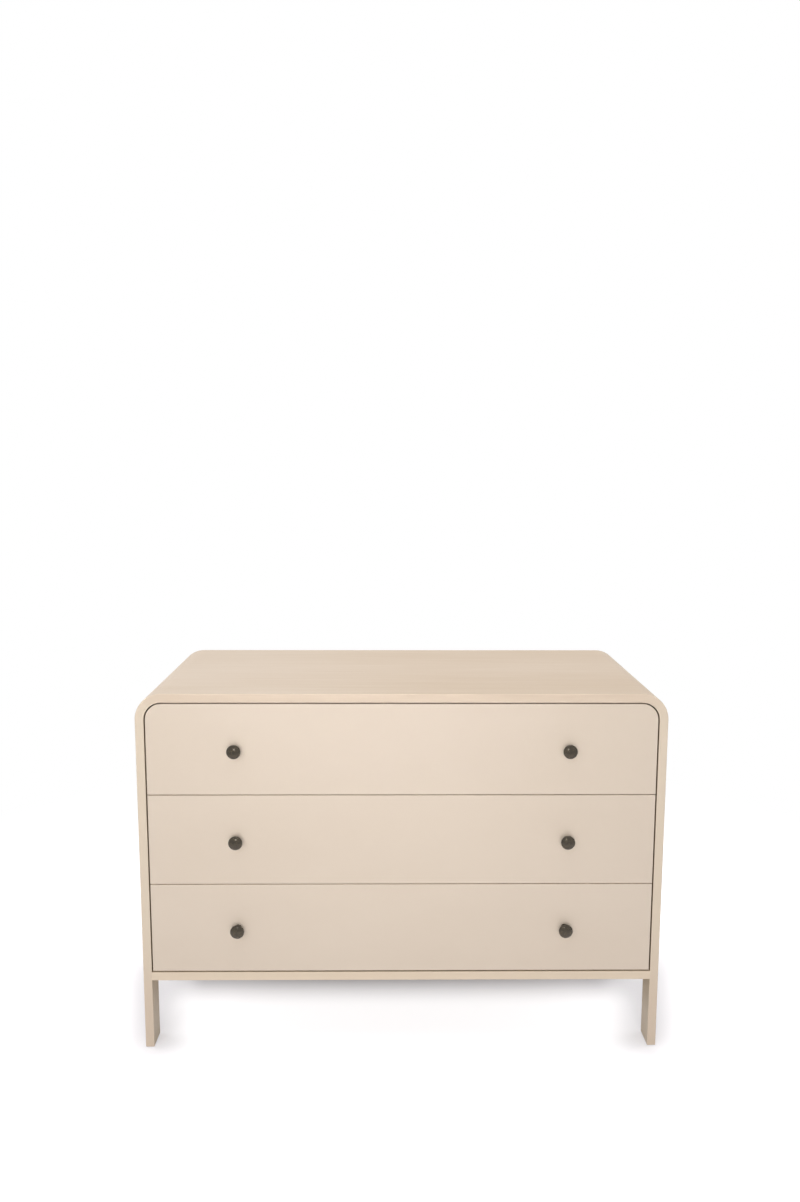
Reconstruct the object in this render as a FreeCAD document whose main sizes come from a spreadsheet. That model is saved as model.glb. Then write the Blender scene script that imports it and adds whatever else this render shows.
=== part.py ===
"""Dresser with three inset drawers, rounded upper corners and legs cut from its side panels.

Row frame: +X to the right, +Y to the back, +Z up, millimetres.
The origin is on the floor, under the centre of the box that holds the case and its knobs.
"""
import FreeCAD, Part
import math
import os
import Sketcher

doc = FreeCAD.newDocument("Dresser")

# Driving dimensions in millimetres
SIZES = {
    "overall_width": "1200",
    "case_depth": "500",
    "overall_height": "850",
    "panel_thickness": "20",
    "corner_radius": "60",
    "case_edge_round": "2.5",
    "leg_height": "168",
    "leg_depth": "56",
    "glide_height": "2",
    "glide_radius": "8",
    "glide_pin_radius": "1.5",
    "glide_pin_length": "12",
    "back_thickness": "6",
    "back_clearance": "0.5",
    "rebate_width": "12",
    "rear_rail_height": "80",
    "rear_rail_thickness": "18",
    "rear_rail_ease": "1",
    "divider_depth": "60",
    "divider_thickness": "20",
    "divider_setback": "2",
    "reveal_gap": "3",
    "seam_gap": "2",
    "front_thickness": "20",
    "front_edge_round": "1",
    "box_lift": "20",
    "box_drop": "40",
    "box_wall": "15",
    "box_edge_round": "2",
    "box_back_clearance": "4",
    "box_back_inset": "10",
    "front_dado_depth": "8",
    "back_dado_depth": "5",
    "bottom_thickness": "6",
    "bottom_lift": "10",
    "groove_depth": "6",
    "groove_clearance": "0.3",
    "runner_height": "45",
    "runner_thickness": "12.7",
    "runner_steel": "1.2",
    "runner_setback": "2",
    "runner_ball_gap": "3",
    "runner_head_room": "3",
    "runner_tip_clearance": "0.8",
    "runner_outer_reach": "9.5",
    "cage_clearance": "0.3",
    "cage_width": "2.6",
    "cage_length": "190",
    "knob_spacing": "754",
    "knob_projection": "25",
    "knob_radius": "16",
    "knob_head_thickness": "9",
    "knob_dome": "4.5",
    "knob_rim_round": "1.8",
    "knob_stem_radius": "6",
    "knob_neck_round": "3",
    "knob_thread_depth": "10",
    "knob_screw_radius": "2",
    "knob_screw_bite": "8",
    "knob_screw_head_radius": "4",
    "knob_screw_head_height": "2.5",
    "knob_hole_clearance": "0.25",
    "runner_screw_radius": "1.75",
    "runner_screw_length": "12",
    "runner_screw_head_radius": "3.5",
    "runner_screw_head_height": "2",
    "runner_screw_inset": "35",
    "back_screw_radius": "1.75",
    "back_screw_length": "16",
    "back_screw_head_radius": "3.5",
    "back_screw_head_height": "2",
    "back_screw_inset": "60",
    "screw_tip_length": "3",
    "fit_clearance": "0.05",
    "hole_bottom_gap": "0.5",
    "dowel_radius": "4",
    "dowel_length": "30",
    "dowel_in_side": "12",
    "dowel_inset": "50",
    "dowel_chamfer": "1",
    "divider_dowel_inset": "15",
    "anchor_spacing": "600",
    "anchor_radius": "2.5",
    "anchor_depth": "20",
}

dims = doc.addObject("Spreadsheet::Sheet", "dims")
for row, (alias, number) in enumerate(SIZES.items(), start=1):
    dims.set(f"A{row}", alias)
    dims.set(f"B{row}", number)
    dims.setAlias(f"B{row}", alias)
doc.recompute()

# Places that several pieces share, as rules on the driving dimensions
FRONT_Y = "((dims.knob_projection - dims.case_depth) / 2)"
BACK_Y = "((dims.knob_projection + dims.case_depth) / 2)"
INNER_HALF = "(dims.overall_width / 2 - dims.panel_thickness)"
BEND_X = "(dims.overall_width / 2 - dims.corner_radius)"
BEND_Z = "(dims.overall_height - dims.corner_radius)"
INNER_RADIUS = "(dims.corner_radius - dims.panel_thickness)"
FLOOR_OF_CASE = "(dims.leg_height + dims.panel_thickness)"
CEILING = "(dims.overall_height - dims.panel_thickness)"
BACK_FACE = f"({BACK_Y} - dims.back_thickness)"

DRAWERS = ("lower", "centre", "upper")
SIDES = {"left": -1, "right": 1}
SEAMS = len(DRAWERS) - 1
FRONTS_AND_SEAMS = f"({CEILING} - {FLOOR_OF_CASE} - 2 * dims.reveal_gap)"
FRONT_HEIGHT = f"(({FRONTS_AND_SEAMS} - {SEAMS} * dims.seam_gap) / {len(DRAWERS)})"
ROW_PITCH = f"({FRONT_HEIGHT} + dims.seam_gap)"
BOX_FRONT = f"({FRONT_Y} + dims.front_thickness)"
BOX_DEPTH = (
    "(dims.case_depth - dims.front_thickness - dims.back_thickness"
    " - dims.rear_rail_thickness - dims.box_back_clearance)"
)
BOX_HALF = f"({INNER_HALF} - dims.runner_thickness)"
BOX_INNER_HALF = f"({BOX_HALF} - dims.box_wall)"
BOX_HEIGHT = f"({FRONT_HEIGHT} - dims.box_lift - dims.box_drop)"
BOX_BACK_FACE = f"({BOX_FRONT} + {BOX_DEPTH} - dims.box_back_inset - dims.box_wall)"
RUNNER_FRONT = f"({BOX_FRONT} + dims.runner_setback)"
RUNNER_LENGTH = f"({BOX_DEPTH} - dims.runner_setback)"
MIDDLE_WEB = "(dims.runner_steel + dims.runner_head_room)"
MIDDLE_TIP = "(dims.runner_thickness - dims.runner_steel - dims.runner_tip_clearance)"
INNER_TIP = f"({MIDDLE_WEB} + dims.runner_steel + dims.runner_tip_clearance)"
MEMBER_STEP = "(dims.runner_steel + dims.runner_ball_gap)"
OUTER_HALF_HEIGHT = "(dims.runner_height / 2)"
MIDDLE_HALF_HEIGHT = f"({OUTER_HALF_HEIGHT} - {MEMBER_STEP})"
INNER_HALF_HEIGHT = f"({MIDDLE_HALF_HEIGHT} - {MEMBER_STEP})"

UP = FreeCAD.Vector(0, 0, 1)
RIGHT = FreeCAD.Vector(1, 0, 0)
LEFT = FreeCAD.Vector(-1, 0, 0)
FORWARD = FreeCAD.Vector(0, -1, 0)
BACKWARD = FreeCAD.Vector(0, 1, 0)

CLOSE = 1e-4
subparts = []

# Codes that a sketch uses for the ends and centre of a line or arc, its origin and its two axes
START, END, CENTRE = range(1, 4)
ACROSS_AXIS, UP_AXIS = range(-1, -3, -1)
ORIGIN = (ACROSS_AXIS, START)


def value(rule):
    """Present value of a rule, as a number in millimetres."""
    return float(dims.evalExpression(rule))


def bind(thing, **rules):
    """Drive the named properties of an object by rules."""
    for name, rule in rules.items():
        thing.setExpression(name, rule)


def place(thing, x, y, z):
    """Drive the position of an object by rules."""
    for axis, rule in zip("xyz", (x, y, z)):
        thing.setExpression(f"Placement.Base.{axis}", rule)


def keep(thing, label):
    """Label an object as a sub-part of the dresser."""
    thing.Label = label
    subparts.append(thing)
    return thing


def block(name, x, y, z, length, depth, height):
    """Plain box from its lowest corner and its three sides."""
    box = doc.addObject("Part::Box", name)
    bind(box, Length=length, Width=depth, Height=height)
    place(box, x, y, z)
    return box


def together(name, pieces):
    """Several separate solids as one compound."""
    group = doc.addObject("Part::Compound", name)
    group.Links = pieces
    return group


def cut(name, base, tools):
    """Base solid with every tool taken away from it."""
    result = doc.addObject("Part::Cut", name)
    result.Base = base
    result.Tool = tools[0] if len(tools) == 1 else together(f"{name}_tools", tools)
    return result


def copies(name, master, spots):
    """Linked copies of a master piece, one at each spot."""
    links = []
    for number, spot in enumerate(spots, start=1):
        link = doc.addObject("App::Link", f"{name}_{number}")
        link.LinkedObject = master
        link.LinkTransform = True
        place(link, *spot)
        links.append(link)
    return links


def sketch_in(body, plane_role):
    """Empty sketch on one of the body's own origin planes."""
    sketch = body.newObject("Sketcher::SketchObject", f"{body.Name}_sketch")
    plane = next(item for item in body.Origin.OriginFeatures if item.Role == plane_role)
    sketch.AttachmentSupport = (plane, "")
    sketch.MapMode = "FlatFace"
    return sketch


def hold_start(sketch, side, across, up):
    """Hold the start of one side of an outline at its place from the sketch origin."""
    for kind, rule, axis in (("DistanceX", across, UP_AXIS), ("DistanceY", up, ACROSS_AXIS)):
        if rule == "0":
            sketch.addConstraint(Sketcher.Constraint("PointOnObject", side, START, axis))
            continue
        held = Sketcher.Constraint(kind, *ORIGIN, side, START, value(rule))
        index = sketch.addConstraint(held)
        sketch.setExpression(f"Constraints[{index}]", rule)


def crown_arc(rim, crown):
    """Low arc from a rim up to a crown on the upright axis, about a centre on that axis."""
    rise = crown.y - rim.y
    radius = (rim.x**2 + rise**2) / (2 * rise)
    centre = FreeCAD.Vector(0, crown.y - radius, 0)
    circle = Part.Circle(centre, UP, radius)
    return Part.ArcOfCircle(circle, math.atan2(rim.y - centre.y, rim.x), math.pi / 2)


def outline(sketch, corners, domed=None):
    """Closed outline, every corner held by its own two rules, with one side domed if asked."""
    points = [FreeCAD.Vector(value(across), value(up), 0) for across, up in corners]
    for side, point in enumerate(points):
        following = points[(side + 1) % len(points)]
        arc = side == domed
        sketch.addGeometry(crown_arc(point, following) if arc else Part.LineSegment(point, following))
    for side, (across, up) in enumerate(corners):
        following = (side + 1) % len(corners)
        sketch.addConstraint(Sketcher.Constraint("Coincident", side, END, following, START))
        hold_start(sketch, side, across, up)
    if domed is not None:
        sketch.addConstraint(Sketcher.Constraint("PointOnObject", domed, CENTRE, UP_AXIS))


def extrude(body, sketch, length, backward=False):
    """Pad of a sketch by a rule."""
    pad = body.newObject("PartDesign::Pad", f"{body.Name}_pad")
    pad.Profile = sketch
    pad.Reversed = backward
    bind(pad, Length=length)
    doc.recompute()
    return pad


def edges_on(feature, **planes):
    """Names of the edges that lie wholly in all the given planes."""
    names = []
    for number, edge in enumerate(feature.Shape.Edges, start=1):
        box = edge.BoundBox
        low = {"x": box.XMin, "y": box.YMin, "z": box.ZMin}
        high = {"x": box.XMax, "y": box.YMax, "z": box.ZMax}
        offsets = [abs(side[axis] - at) for axis, at in planes.items() for side in (low, high)]
        if max(offsets) < CLOSE:
            names.append(f"Edge{number}")
    return names


def round_over(body, edges, radius):
    """Rounding of the named edges of the body's last feature."""
    base = body.Tip
    fillet = body.newObject("PartDesign::Fillet", f"{base.Name}_round")
    fillet.Base = (base, edges)
    bind(fillet, Radius=radius)
    doc.recompute()
    return fillet


def slab(name, x, y, z, length, depth, height):
    """Flat piece padded upwards from a rectangle whose lowest corner is at x, y, z."""
    body = doc.addObject("PartDesign::Body", name)
    sketch = sketch_in(body, "XY_Plane")
    outline(sketch, [("0", "0"), (length, "0"), (length, depth), ("0", depth)])
    extrude(body, sketch, height)
    place(body, x, y, z)
    return body


def upright(name, half_width, low, high, y, thickness):
    """Piece padded backwards from a rectangle that stands centred in a plane across the case."""
    body = doc.addObject("PartDesign::Body", name)
    sketch = sketch_in(body, "XZ_Plane")
    height = f"({high} - {low})"
    outline(sketch, [
        (f"-{half_width}", "0"),
        (half_width, "0"),
        (half_width, height),
        (f"-{half_width}", height),
    ])
    extrude(body, sketch, thickness, backward=True)
    place(body, "0", y, low)
    return body


def round_upper_corners(body, half_width, height, radius):
    """Large rounding of the two upper corners of an upright piece."""
    half = value(half_width)
    top = value(height)
    corners = edges_on(body.Tip, x=-half, z=top) + edges_on(body.Tip, x=half, z=top)
    round_over(body, corners, radius)


def turned(name, corners, towards, domed=None):
    """Solid turned about its axis, with the outline's up direction pointing the given way."""
    body = doc.addObject("PartDesign::Body", name)
    sketch = sketch_in(body, "XZ_Plane")
    outline(sketch, corners, domed)
    spin = body.newObject("PartDesign::Revolution", f"{name}_spin")
    spin.Profile = sketch
    spin.ReferenceAxis = (sketch, ["V_Axis"])
    body.Placement = FreeCAD.Placement(FreeCAD.Vector(), FreeCAD.Rotation(UP, towards))
    doc.recompute()
    return body


def lowest_x(sign, near, far):
    """Lowest X of a piece that lies between two distances from the middle plane."""
    return near if sign > 0 else f"-({far})"


def evenly(start, length, inset, count):
    """Places along a length, from one inset to the other."""
    step = f"({length} - 2 * {inset}) / {count - 1}"
    return [f"{start} + {inset} + {index} * {step}" for index in range(count)]


def row_floor(row):
    """Height of the lower edge of a drawer front."""
    return f"({FLOOR_OF_CASE} + dims.reveal_gap + {row} * {ROW_PITCH})"


def seam_level(row):
    """Height of the middle of the seam under a drawer front."""
    return f"({row_floor(row)} - dims.seam_gap / 2)"


def runner_level(row):
    """Height of the centre line of a drawer's runners."""
    return f"({row_floor(row)} + dims.box_lift + {BOX_HEIGHT} / 2)"


# Dowels: beech pins with chamfered ends, glued into both pieces of each joint
def pin_outline(radius, low, high, chamfer):
    """Outline of a round pin with chamfered ends."""
    return [
        ("0", low),
        (f"({radius} - {chamfer})", low),
        (radius, f"({low} + {chamfer})"),
        (radius, f"({high} - {chamfer})"),
        (f"({radius} - {chamfer})", high),
        ("0", high),
    ]


def hole_outline(radius, low, high):
    """Outline of a plain round hole."""
    return [("0", low), (radius, low), (radius, high), ("0", high)]


DOWEL = pin_outline("dims.dowel_radius", "0", "dims.dowel_length", "dims.dowel_chamfer")
DOWEL_HOLE = hole_outline(
    "(dims.dowel_radius + dims.fit_clearance)",
    "(-dims.hole_bottom_gap)",
    "(dims.dowel_length + dims.hole_bottom_gap)",
)
dowel_masters = {
    "across": turned("dowel_across", DOWEL, RIGHT),
    "upright": turned("dowel_upright", DOWEL, UP),
}
dowel_hole_masters = {
    "across": turned("dowel_hole_across", DOWEL_HOLE, RIGHT),
    "upright": turned("dowel_hole_upright", DOWEL_HOLE, UP),
}
dowels = []


def dowel_joint(name, way, spots):
    """Dowels at the spots, and the holes that they need in both pieces."""
    dowels.extend(copies(f"{name}_dowel", dowel_masters[way], spots))
    return copies(f"{name}_hole", dowel_hole_masters[way], spots)


CASE_DOWELS = 4
case_dowel_places = evenly(FRONT_Y, "dims.case_depth", "dims.dowel_inset", CASE_DOWELS)


def side_joint(name, y_places, z_places):
    """Dowels that join the ends of a cross piece to both side panels."""
    holes = {}
    for side, sign in SIDES.items():
        start = lowest_x(
            sign,
            f"{INNER_HALF} + dims.dowel_in_side - dims.dowel_length",
            f"{INNER_HALF} + dims.dowel_in_side",
        )
        spots = [(start, y, z) for y in y_places for z in z_places]
        holes[side] = dowel_joint(f"{name}_{side}", "across", spots)
    return holes


# Recess for the back panel, let into every piece round the back of the case
RECESS_HALF = f"({INNER_HALF} + dims.rebate_width)"
RECESS_LOW = f"({FLOOR_OF_CASE} - dims.rebate_width)"
RECESS_HIGH = f"({CEILING} + dims.rebate_width)"
RECESS_RADIUS = f"({INNER_RADIUS} + dims.rebate_width)"
recess = upright(
    "back_recess", RECESS_HALF, RECESS_LOW, RECESS_HIGH, BACK_FACE, "(2 * dims.back_thickness)"
)
round_upper_corners(recess, RECESS_HALF, f"({RECESS_HIGH} - {RECESS_LOW})", RECESS_RADIUS)

# Screws: a straight shank with a cone at its tip, head upwards in the outline
def screw_outline(radius, length, head_radius, head_height):
    """Outline of a screw whose flat head rests at height 0."""
    return [
        ("0", f"(-{length})"),
        (radius, f"(dims.screw_tip_length - {length})"),
        (radius, "0"),
        (head_radius, "0"),
        (head_radius, head_height),
        ("0", head_height),
    ]


def sunk_screw_outline(radius, length, head_radius, head_height):
    """Outline of a countersunk screw whose head is flush at height 0."""
    return [
        ("0", f"(-{length})"),
        (radius, f"(dims.screw_tip_length - {length})"),
        (radius, f"(-{head_height})"),
        (head_radius, "0"),
        ("0", "0"),
    ]


def sunk_hole_outline(radius, length, head_radius, head_height):
    """Outline of the countersunk hole for such a screw, with its clearance."""
    return [
        ("0", f"(-{length} - dims.hole_bottom_gap)"),
        (f"({radius} + dims.fit_clearance)", f"(-{length} - dims.hole_bottom_gap)"),
        (f"({radius} + dims.fit_clearance)", f"(-{head_height})"),
        (f"({head_radius} + dims.fit_clearance)", "0"),
        ("0", "0"),
    ]


RUNNER_SCREW = screw_outline(
    "dims.runner_screw_radius",
    "dims.runner_screw_length",
    "dims.runner_screw_head_radius",
    "dims.runner_screw_head_height",
)
RUNNER_SCREW_HOLE = hole_outline(
    "(dims.runner_screw_radius + dims.fit_clearance)",
    "(-dims.runner_screw_length - dims.hole_bottom_gap)",
    "dims.runner_screw_head_height",
)
runner_screw_masters = {
    "left": turned("runner_screw_heading_left", RUNNER_SCREW, RIGHT),
    "right": turned("runner_screw_heading_right", RUNNER_SCREW, LEFT),
}
runner_hole_masters = {
    "left": turned("runner_hole_heading_left", RUNNER_SCREW_HOLE, RIGHT),
    "right": turned("runner_hole_heading_right", RUNNER_SCREW_HOLE, LEFT),
}
OPPOSITE = {"left": "right", "right": "left"}
RUNNER_SCREWS = 3
runner_screw_places = evenly(RUNNER_FRONT, RUNNER_LENGTH, "dims.runner_screw_inset", RUNNER_SCREWS)

# Joints of the case
bend_top_holes = {}
bend_side_holes = {}
for side, sign in SIDES.items():
    top_spots = [
        (
            f"{sign} * {BEND_X} - dims.dowel_length / 2",
            y,
            "dims.overall_height - dims.panel_thickness / 2",
        )
        for y in case_dowel_places
    ]
    side_spots = [
        (
            f"{sign} * (dims.overall_width / 2 - dims.panel_thickness / 2)",
            y,
            f"{BEND_Z} - dims.dowel_length / 2",
        )
        for y in case_dowel_places
    ]
    bend_top_holes[side] = dowel_joint(f"bend_top_{side}", "across", top_spots)
    bend_side_holes[side] = dowel_joint(f"bend_side_{side}", "upright", side_spots)
bottom_holes = side_joint(
    "bottom", case_dowel_places, ["dims.leg_height + dims.panel_thickness / 2"]
)

REAR_RAIL_LOW = f"({CEILING} - dims.rear_rail_height)"
REAR_RAIL_FRONT = f"({BACK_FACE} - dims.rear_rail_thickness)"
rear_rail_holes = side_joint(
    "rear_rail",
    [f"{REAR_RAIL_FRONT} + dims.rear_rail_thickness / 2"],
    [f"({REAR_RAIL_LOW} + {BEND_Z}) / 2"],
)

DIVIDER_FRONT = f"({BOX_FRONT} + dims.divider_setback)"
DIVIDERS = {"lower": 1, "upper": 2}
DIVIDER_DOWELS = 2
divider_dowel_places = evenly(
    DIVIDER_FRONT, "dims.divider_depth", "dims.divider_dowel_inset", DIVIDER_DOWELS
)
divider_holes = {
    name: side_joint(f"divider_{name}", divider_dowel_places, [seam_level(row)])
    for name, row in DIVIDERS.items()
}

# Back panel screws, through the panel's rim into the floor of the recess
RIM_COLUMN_COUNT = 5
RIM_ROW_COUNT = 3
rim_columns = evenly(f"-{BEND_X}", f"(2 * {BEND_X})", "dims.back_screw_inset", RIM_COLUMN_COUNT)
rim_rows = evenly(
    FLOOR_OF_CASE, f"({BEND_Z} - {FLOOR_OF_CASE})", "dims.back_screw_inset", RIM_ROW_COUNT
)
back_screw_spots = {
    "top": [(x, BACK_Y, f"{CEILING} + dims.rebate_width / 2") for x in rim_columns],
    "bottom": [(x, BACK_Y, f"{FLOOR_OF_CASE} - dims.rebate_width / 2") for x in rim_columns],
}
for side, sign in SIDES.items():
    column = f"{sign} * ({INNER_HALF} + dims.rebate_width / 2)"
    back_screw_spots[side] = [(column, BACK_Y, z) for z in rim_rows]
BACK_SCREW_SIZES = (
    "dims.back_screw_radius",
    "dims.back_screw_length",
    "dims.back_screw_head_radius",
    "dims.back_screw_head_height",
)
back_screw_master = turned("back_screw", sunk_screw_outline(*BACK_SCREW_SIZES), BACKWARD)
back_hole_master = turned("back_screw_hole", sunk_hole_outline(*BACK_SCREW_SIZES), BACKWARD)
back_screws = []
back_holes = {}
for edge, spots in back_screw_spots.items():
    back_screws.extend(copies(f"back_screw_{edge}", back_screw_master, spots))
    back_holes[edge] = copies(f"back_hole_{edge}", back_hole_master, spots)
keep(together("back_panel_screws", back_screws), "back_panel_screws")

# Holes for a wall strap, through the back panel into the rear rail
anchor_master = turned(
    "anchor_hole", hole_outline("dims.anchor_radius", "(-dims.anchor_depth)", "0"), BACKWARD
)
anchor_spots = [
    (f"{sign} * dims.anchor_spacing / 2", BACK_Y, f"{CEILING} - dims.rear_rail_height / 2")
    for sign in SIDES.values()
]
anchor_holes = copies("anchor", anchor_master, anchor_spots)

# Foot glides: a nylon disc with a pin driven up into the leg
GLIDE = [
    ("0", "0"),
    ("dims.glide_radius", "0"),
    ("dims.glide_radius", "dims.glide_height"),
    ("dims.glide_pin_radius", "dims.glide_height"),
    ("dims.glide_pin_radius", "(dims.glide_height + dims.glide_pin_length)"),
    ("0", "(dims.glide_height + dims.glide_pin_length)"),
]
GLIDE_HOLE = hole_outline(
    "(dims.glide_pin_radius + dims.fit_clearance)",
    "0",
    "(dims.glide_height + dims.glide_pin_length + dims.hole_bottom_gap)",
)
glide_master = turned("foot_glide", GLIDE, UP)
glide_hole_master = turned("foot_glide_hole", GLIDE_HOLE, UP)
leg_middles = [f"{FRONT_Y} + dims.leg_depth / 2", f"{BACK_Y} - dims.leg_depth / 2"]
glides = []
glide_holes = {}
for side, sign in SIDES.items():
    column = f"{sign} * (dims.overall_width / 2 - dims.panel_thickness / 2)"
    spots = [(column, y, "0") for y in leg_middles]
    glides.extend(copies(f"glide_{side}", glide_master, spots))
    glide_holes[side] = copies(f"glide_hole_{side}", glide_hole_master, spots)
keep(together("foot_glides", glides), "foot_glides")

# Top panel, between the corner bends, with its front edge eased
top = slab(
    "top", f"-{BEND_X}", FRONT_Y, CEILING, f"(2 * {BEND_X})", "dims.case_depth", "dims.panel_thickness"
)
round_over(top, edges_on(top.Tip, y=0, z=value("dims.panel_thickness")), "dims.case_edge_round")
top_holes = bend_top_holes["left"] + bend_top_holes["right"] + back_holes["top"]
keep(cut("top_panel", top, [recess] + top_holes), "top_panel")


# Corner bends: quarter rings that carry the top panel into the side panels
def quarter_ring(body, inner, outer):
    """Sketch of a quarter ring about the body's own origin."""
    sketch = sketch_in(body, "XZ_Plane")
    radii = (inner, outer)
    for radius in radii:
        circle = Part.Circle(FreeCAD.Vector(), UP, value(radius))
        arc = sketch.addGeometry(Part.ArcOfCircle(circle, 0, math.pi / 2))
        sketch.addConstraint(Sketcher.Constraint("Coincident", arc, CENTRE, *ORIGIN))
        index = sketch.addConstraint(Sketcher.Constraint("Radius", arc, value(radius)))
        sketch.setExpression(f"Constraints[{index}]", radius)
    starts = [FreeCAD.Vector(value(radius), 0, 0) for radius in radii]
    ends = [FreeCAD.Vector(0, value(radius), 0) for radius in radii]
    inner_arc, outer_arc = 0, 1
    for arc_end, axis, points in ((START, ACROSS_AXIS, starts), (END, UP_AXIS, ends)):
        line = sketch.addGeometry(Part.LineSegment(*points))
        for arc, line_end in ((inner_arc, START), (outer_arc, END)):
            sketch.addConstraint(Sketcher.Constraint("Coincident", arc, arc_end, line, line_end))
            sketch.addConstraint(Sketcher.Constraint("PointOnObject", line, line_end, axis))
    return sketch


QUARTER_TURN = 90
for side, sign in SIDES.items():
    bend = doc.addObject("PartDesign::Body", f"bend_{side}")
    ring = quarter_ring(bend, INNER_RADIUS, "dims.corner_radius")
    extrude(bend, ring, "dims.case_depth", backward=True)
    outer_arcs = [
        name
        for name in edges_on(bend.Tip, y=0)
        if bend.Tip.Shape.getElement(name).BoundBox.DiagonalLength > value("dims.corner_radius")
    ]
    round_over(bend, outer_arcs, "dims.case_edge_round")
    turn = 0 if sign > 0 else -QUARTER_TURN
    bend.Placement = FreeCAD.Placement(
        FreeCAD.Vector(), FreeCAD.Rotation(FreeCAD.Vector(0, 1, 0), turn)
    )
    place(bend, f"{sign} * {BEND_X}", FRONT_Y, BEND_Z)
    bend_holes = bend_top_holes[side] + bend_side_holes[side]
    keep(cut(f"corner_bend_{side}", bend, [recess] + bend_holes), f"corner_bend_{side}")

# Side panels, whose lower ends are cut away between a front leg and a rear leg
SIDE_OUTLINE = [
    ("0", "dims.glide_height"),
    ("dims.leg_depth", "dims.glide_height"),
    ("dims.leg_depth", "dims.leg_height"),
    ("(dims.case_depth - dims.leg_depth)", "dims.leg_height"),
    ("(dims.case_depth - dims.leg_depth)", "dims.glide_height"),
    ("dims.case_depth", "dims.glide_height"),
    ("dims.case_depth", BEND_Z),
    ("0", BEND_Z),
]


def runner_screw_spots(sign, depth, row):
    """Places of the screws of one runner member, at a depth from the side panel."""
    x = f"{sign} * ({INNER_HALF} - {depth})"
    return [(x, y, runner_level(row)) for y in runner_screw_places]


cabinet_screws = []
cabinet_screw_holes = {}
for side, sign in SIDES.items():
    holes = []
    for row, name in enumerate(DRAWERS):
        spots = runner_screw_spots(sign, "dims.runner_steel", row)
        label = f"cabinet_screw_{name}_{side}"
        cabinet_screws.extend(copies(label, runner_screw_masters[side], spots))
        cabinet_screw_holes[name, side] = copies(f"{label}_hole", runner_hole_masters[side], spots)
        holes += cabinet_screw_holes[name, side]
    panel = doc.addObject("PartDesign::Body", f"side_{side}")
    panel_sketch = sketch_in(panel, "YZ_Plane")
    outline(panel_sketch, SIDE_OUTLINE)
    extrude(panel, panel_sketch, "dims.panel_thickness")
    outer_face = value("dims.panel_thickness") if sign > 0 else 0
    round_over(panel, edges_on(panel.Tip, x=outer_face, y=0), "dims.case_edge_round")
    place(panel, lowest_x(sign, INNER_HALF, "dims.overall_width / 2"), FRONT_Y, "0")
    holes += bend_side_holes[side] + bottom_holes[side] + rear_rail_holes[side]
    holes += divider_holes["lower"][side] + divider_holes["upper"][side]
    holes += glide_holes[side] + back_holes[side]
    keep(cut(f"side_panel_{side}", panel, [recess] + holes), f"side_panel_{side}")
keep(together("cabinet_runner_screws", cabinet_screws), "cabinet_runner_screws")

# Bottom panel, whose front edge shows as the rail under the drawers
bottom = block(
    "bottom", f"-{INNER_HALF}", FRONT_Y, "dims.leg_height", f"(2 * {INNER_HALF})", "dims.case_depth",
    "dims.panel_thickness",
)
bottom_tools = [recess] + bottom_holes["left"] + bottom_holes["right"] + back_holes["bottom"]
keep(cut("bottom_panel", bottom, bottom_tools), "bottom_panel")

# Back panel, with its upper corners rounded to follow the bends
BACK_HALF = f"({RECESS_HALF} - dims.back_clearance)"
BACK_LOW = f"({RECESS_LOW} + dims.back_clearance)"
BACK_HIGH = f"({RECESS_HIGH} - dims.back_clearance)"
back = upright("back", BACK_HALF, BACK_LOW, BACK_HIGH, BACK_FACE, "dims.back_thickness")
round_upper_corners(
    back, BACK_HALF, f"({BACK_HIGH} - {BACK_LOW})", f"({RECESS_RADIUS} - dims.back_clearance)"
)
rim_holes = [hole for holes in back_holes.values() for hole in holes]
keep(cut("back_panel", back, rim_holes + anchor_holes), "back_panel")

# Rear rail under the top panel, against the back panel
rear = upright(
    "rear", INNER_HALF, REAR_RAIL_LOW, CEILING, REAR_RAIL_FRONT, "dims.rear_rail_thickness"
)
round_upper_corners(
    rear, INNER_HALF, "dims.rear_rail_height", f"({INNER_RADIUS} + dims.rear_rail_ease)"
)
rear_tools = rear_rail_holes["left"] + rear_rail_holes["right"] + anchor_holes
keep(cut("rear_rail", rear, rear_tools), "rear_rail")

# Divider rails behind the seams between the drawer fronts
for name, row in DIVIDERS.items():
    divider = block(
        f"divider_{name}",
        f"-{INNER_HALF}",
        DIVIDER_FRONT,
        f"{seam_level(row)} - dims.divider_thickness / 2",
        f"(2 * {INNER_HALF})",
        "dims.divider_depth",
        "dims.divider_thickness",
    )
    holes = divider_holes[name]["left"] + divider_holes[name]["right"]
    keep(cut(f"divider_rail_{name}", divider, holes), f"divider_rail_{name}")

keep(together("panel_dowels", dowels), "panel_dowels")


# Runners: steel channels that nest inside each other, with ball cages between them
def channel(name, sign, row, web, tip, half_height):
    """One runner member, a channel from the face of its web to the tips of its flanges."""
    inward = 1 if value(tip) > value(web) else -1
    web_inside = f"({web} + {inward} * dims.runner_steel)"
    flange_inside = f"({half_height} - dims.runner_steel)"
    profile = [
        (web, f"-{half_height}"),
        (tip, f"-{half_height}"),
        (tip, f"-{flange_inside}"),
        (web_inside, f"-{flange_inside}"),
        (web_inside, flange_inside),
        (tip, flange_inside),
        (tip, half_height),
        (web, half_height),
    ]
    body = doc.addObject("PartDesign::Body", name)
    sketch = sketch_in(body, "XZ_Plane")
    outline(sketch, [(depth if depth == "0" else f"{-sign} * {depth}", up) for depth, up in profile])
    extrude(body, sketch, RUNNER_LENGTH, backward=True)
    place(body, f"{sign} * {INNER_HALF}", RUNNER_FRONT, runner_level(row))
    return body


CAGE_MIDDLE = f"(({MIDDLE_WEB} + dims.runner_steel + {MIDDLE_TIP}) / 2)"
CAGE_HEIGHT = "(dims.runner_ball_gap - 2 * dims.cage_clearance)"


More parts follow.
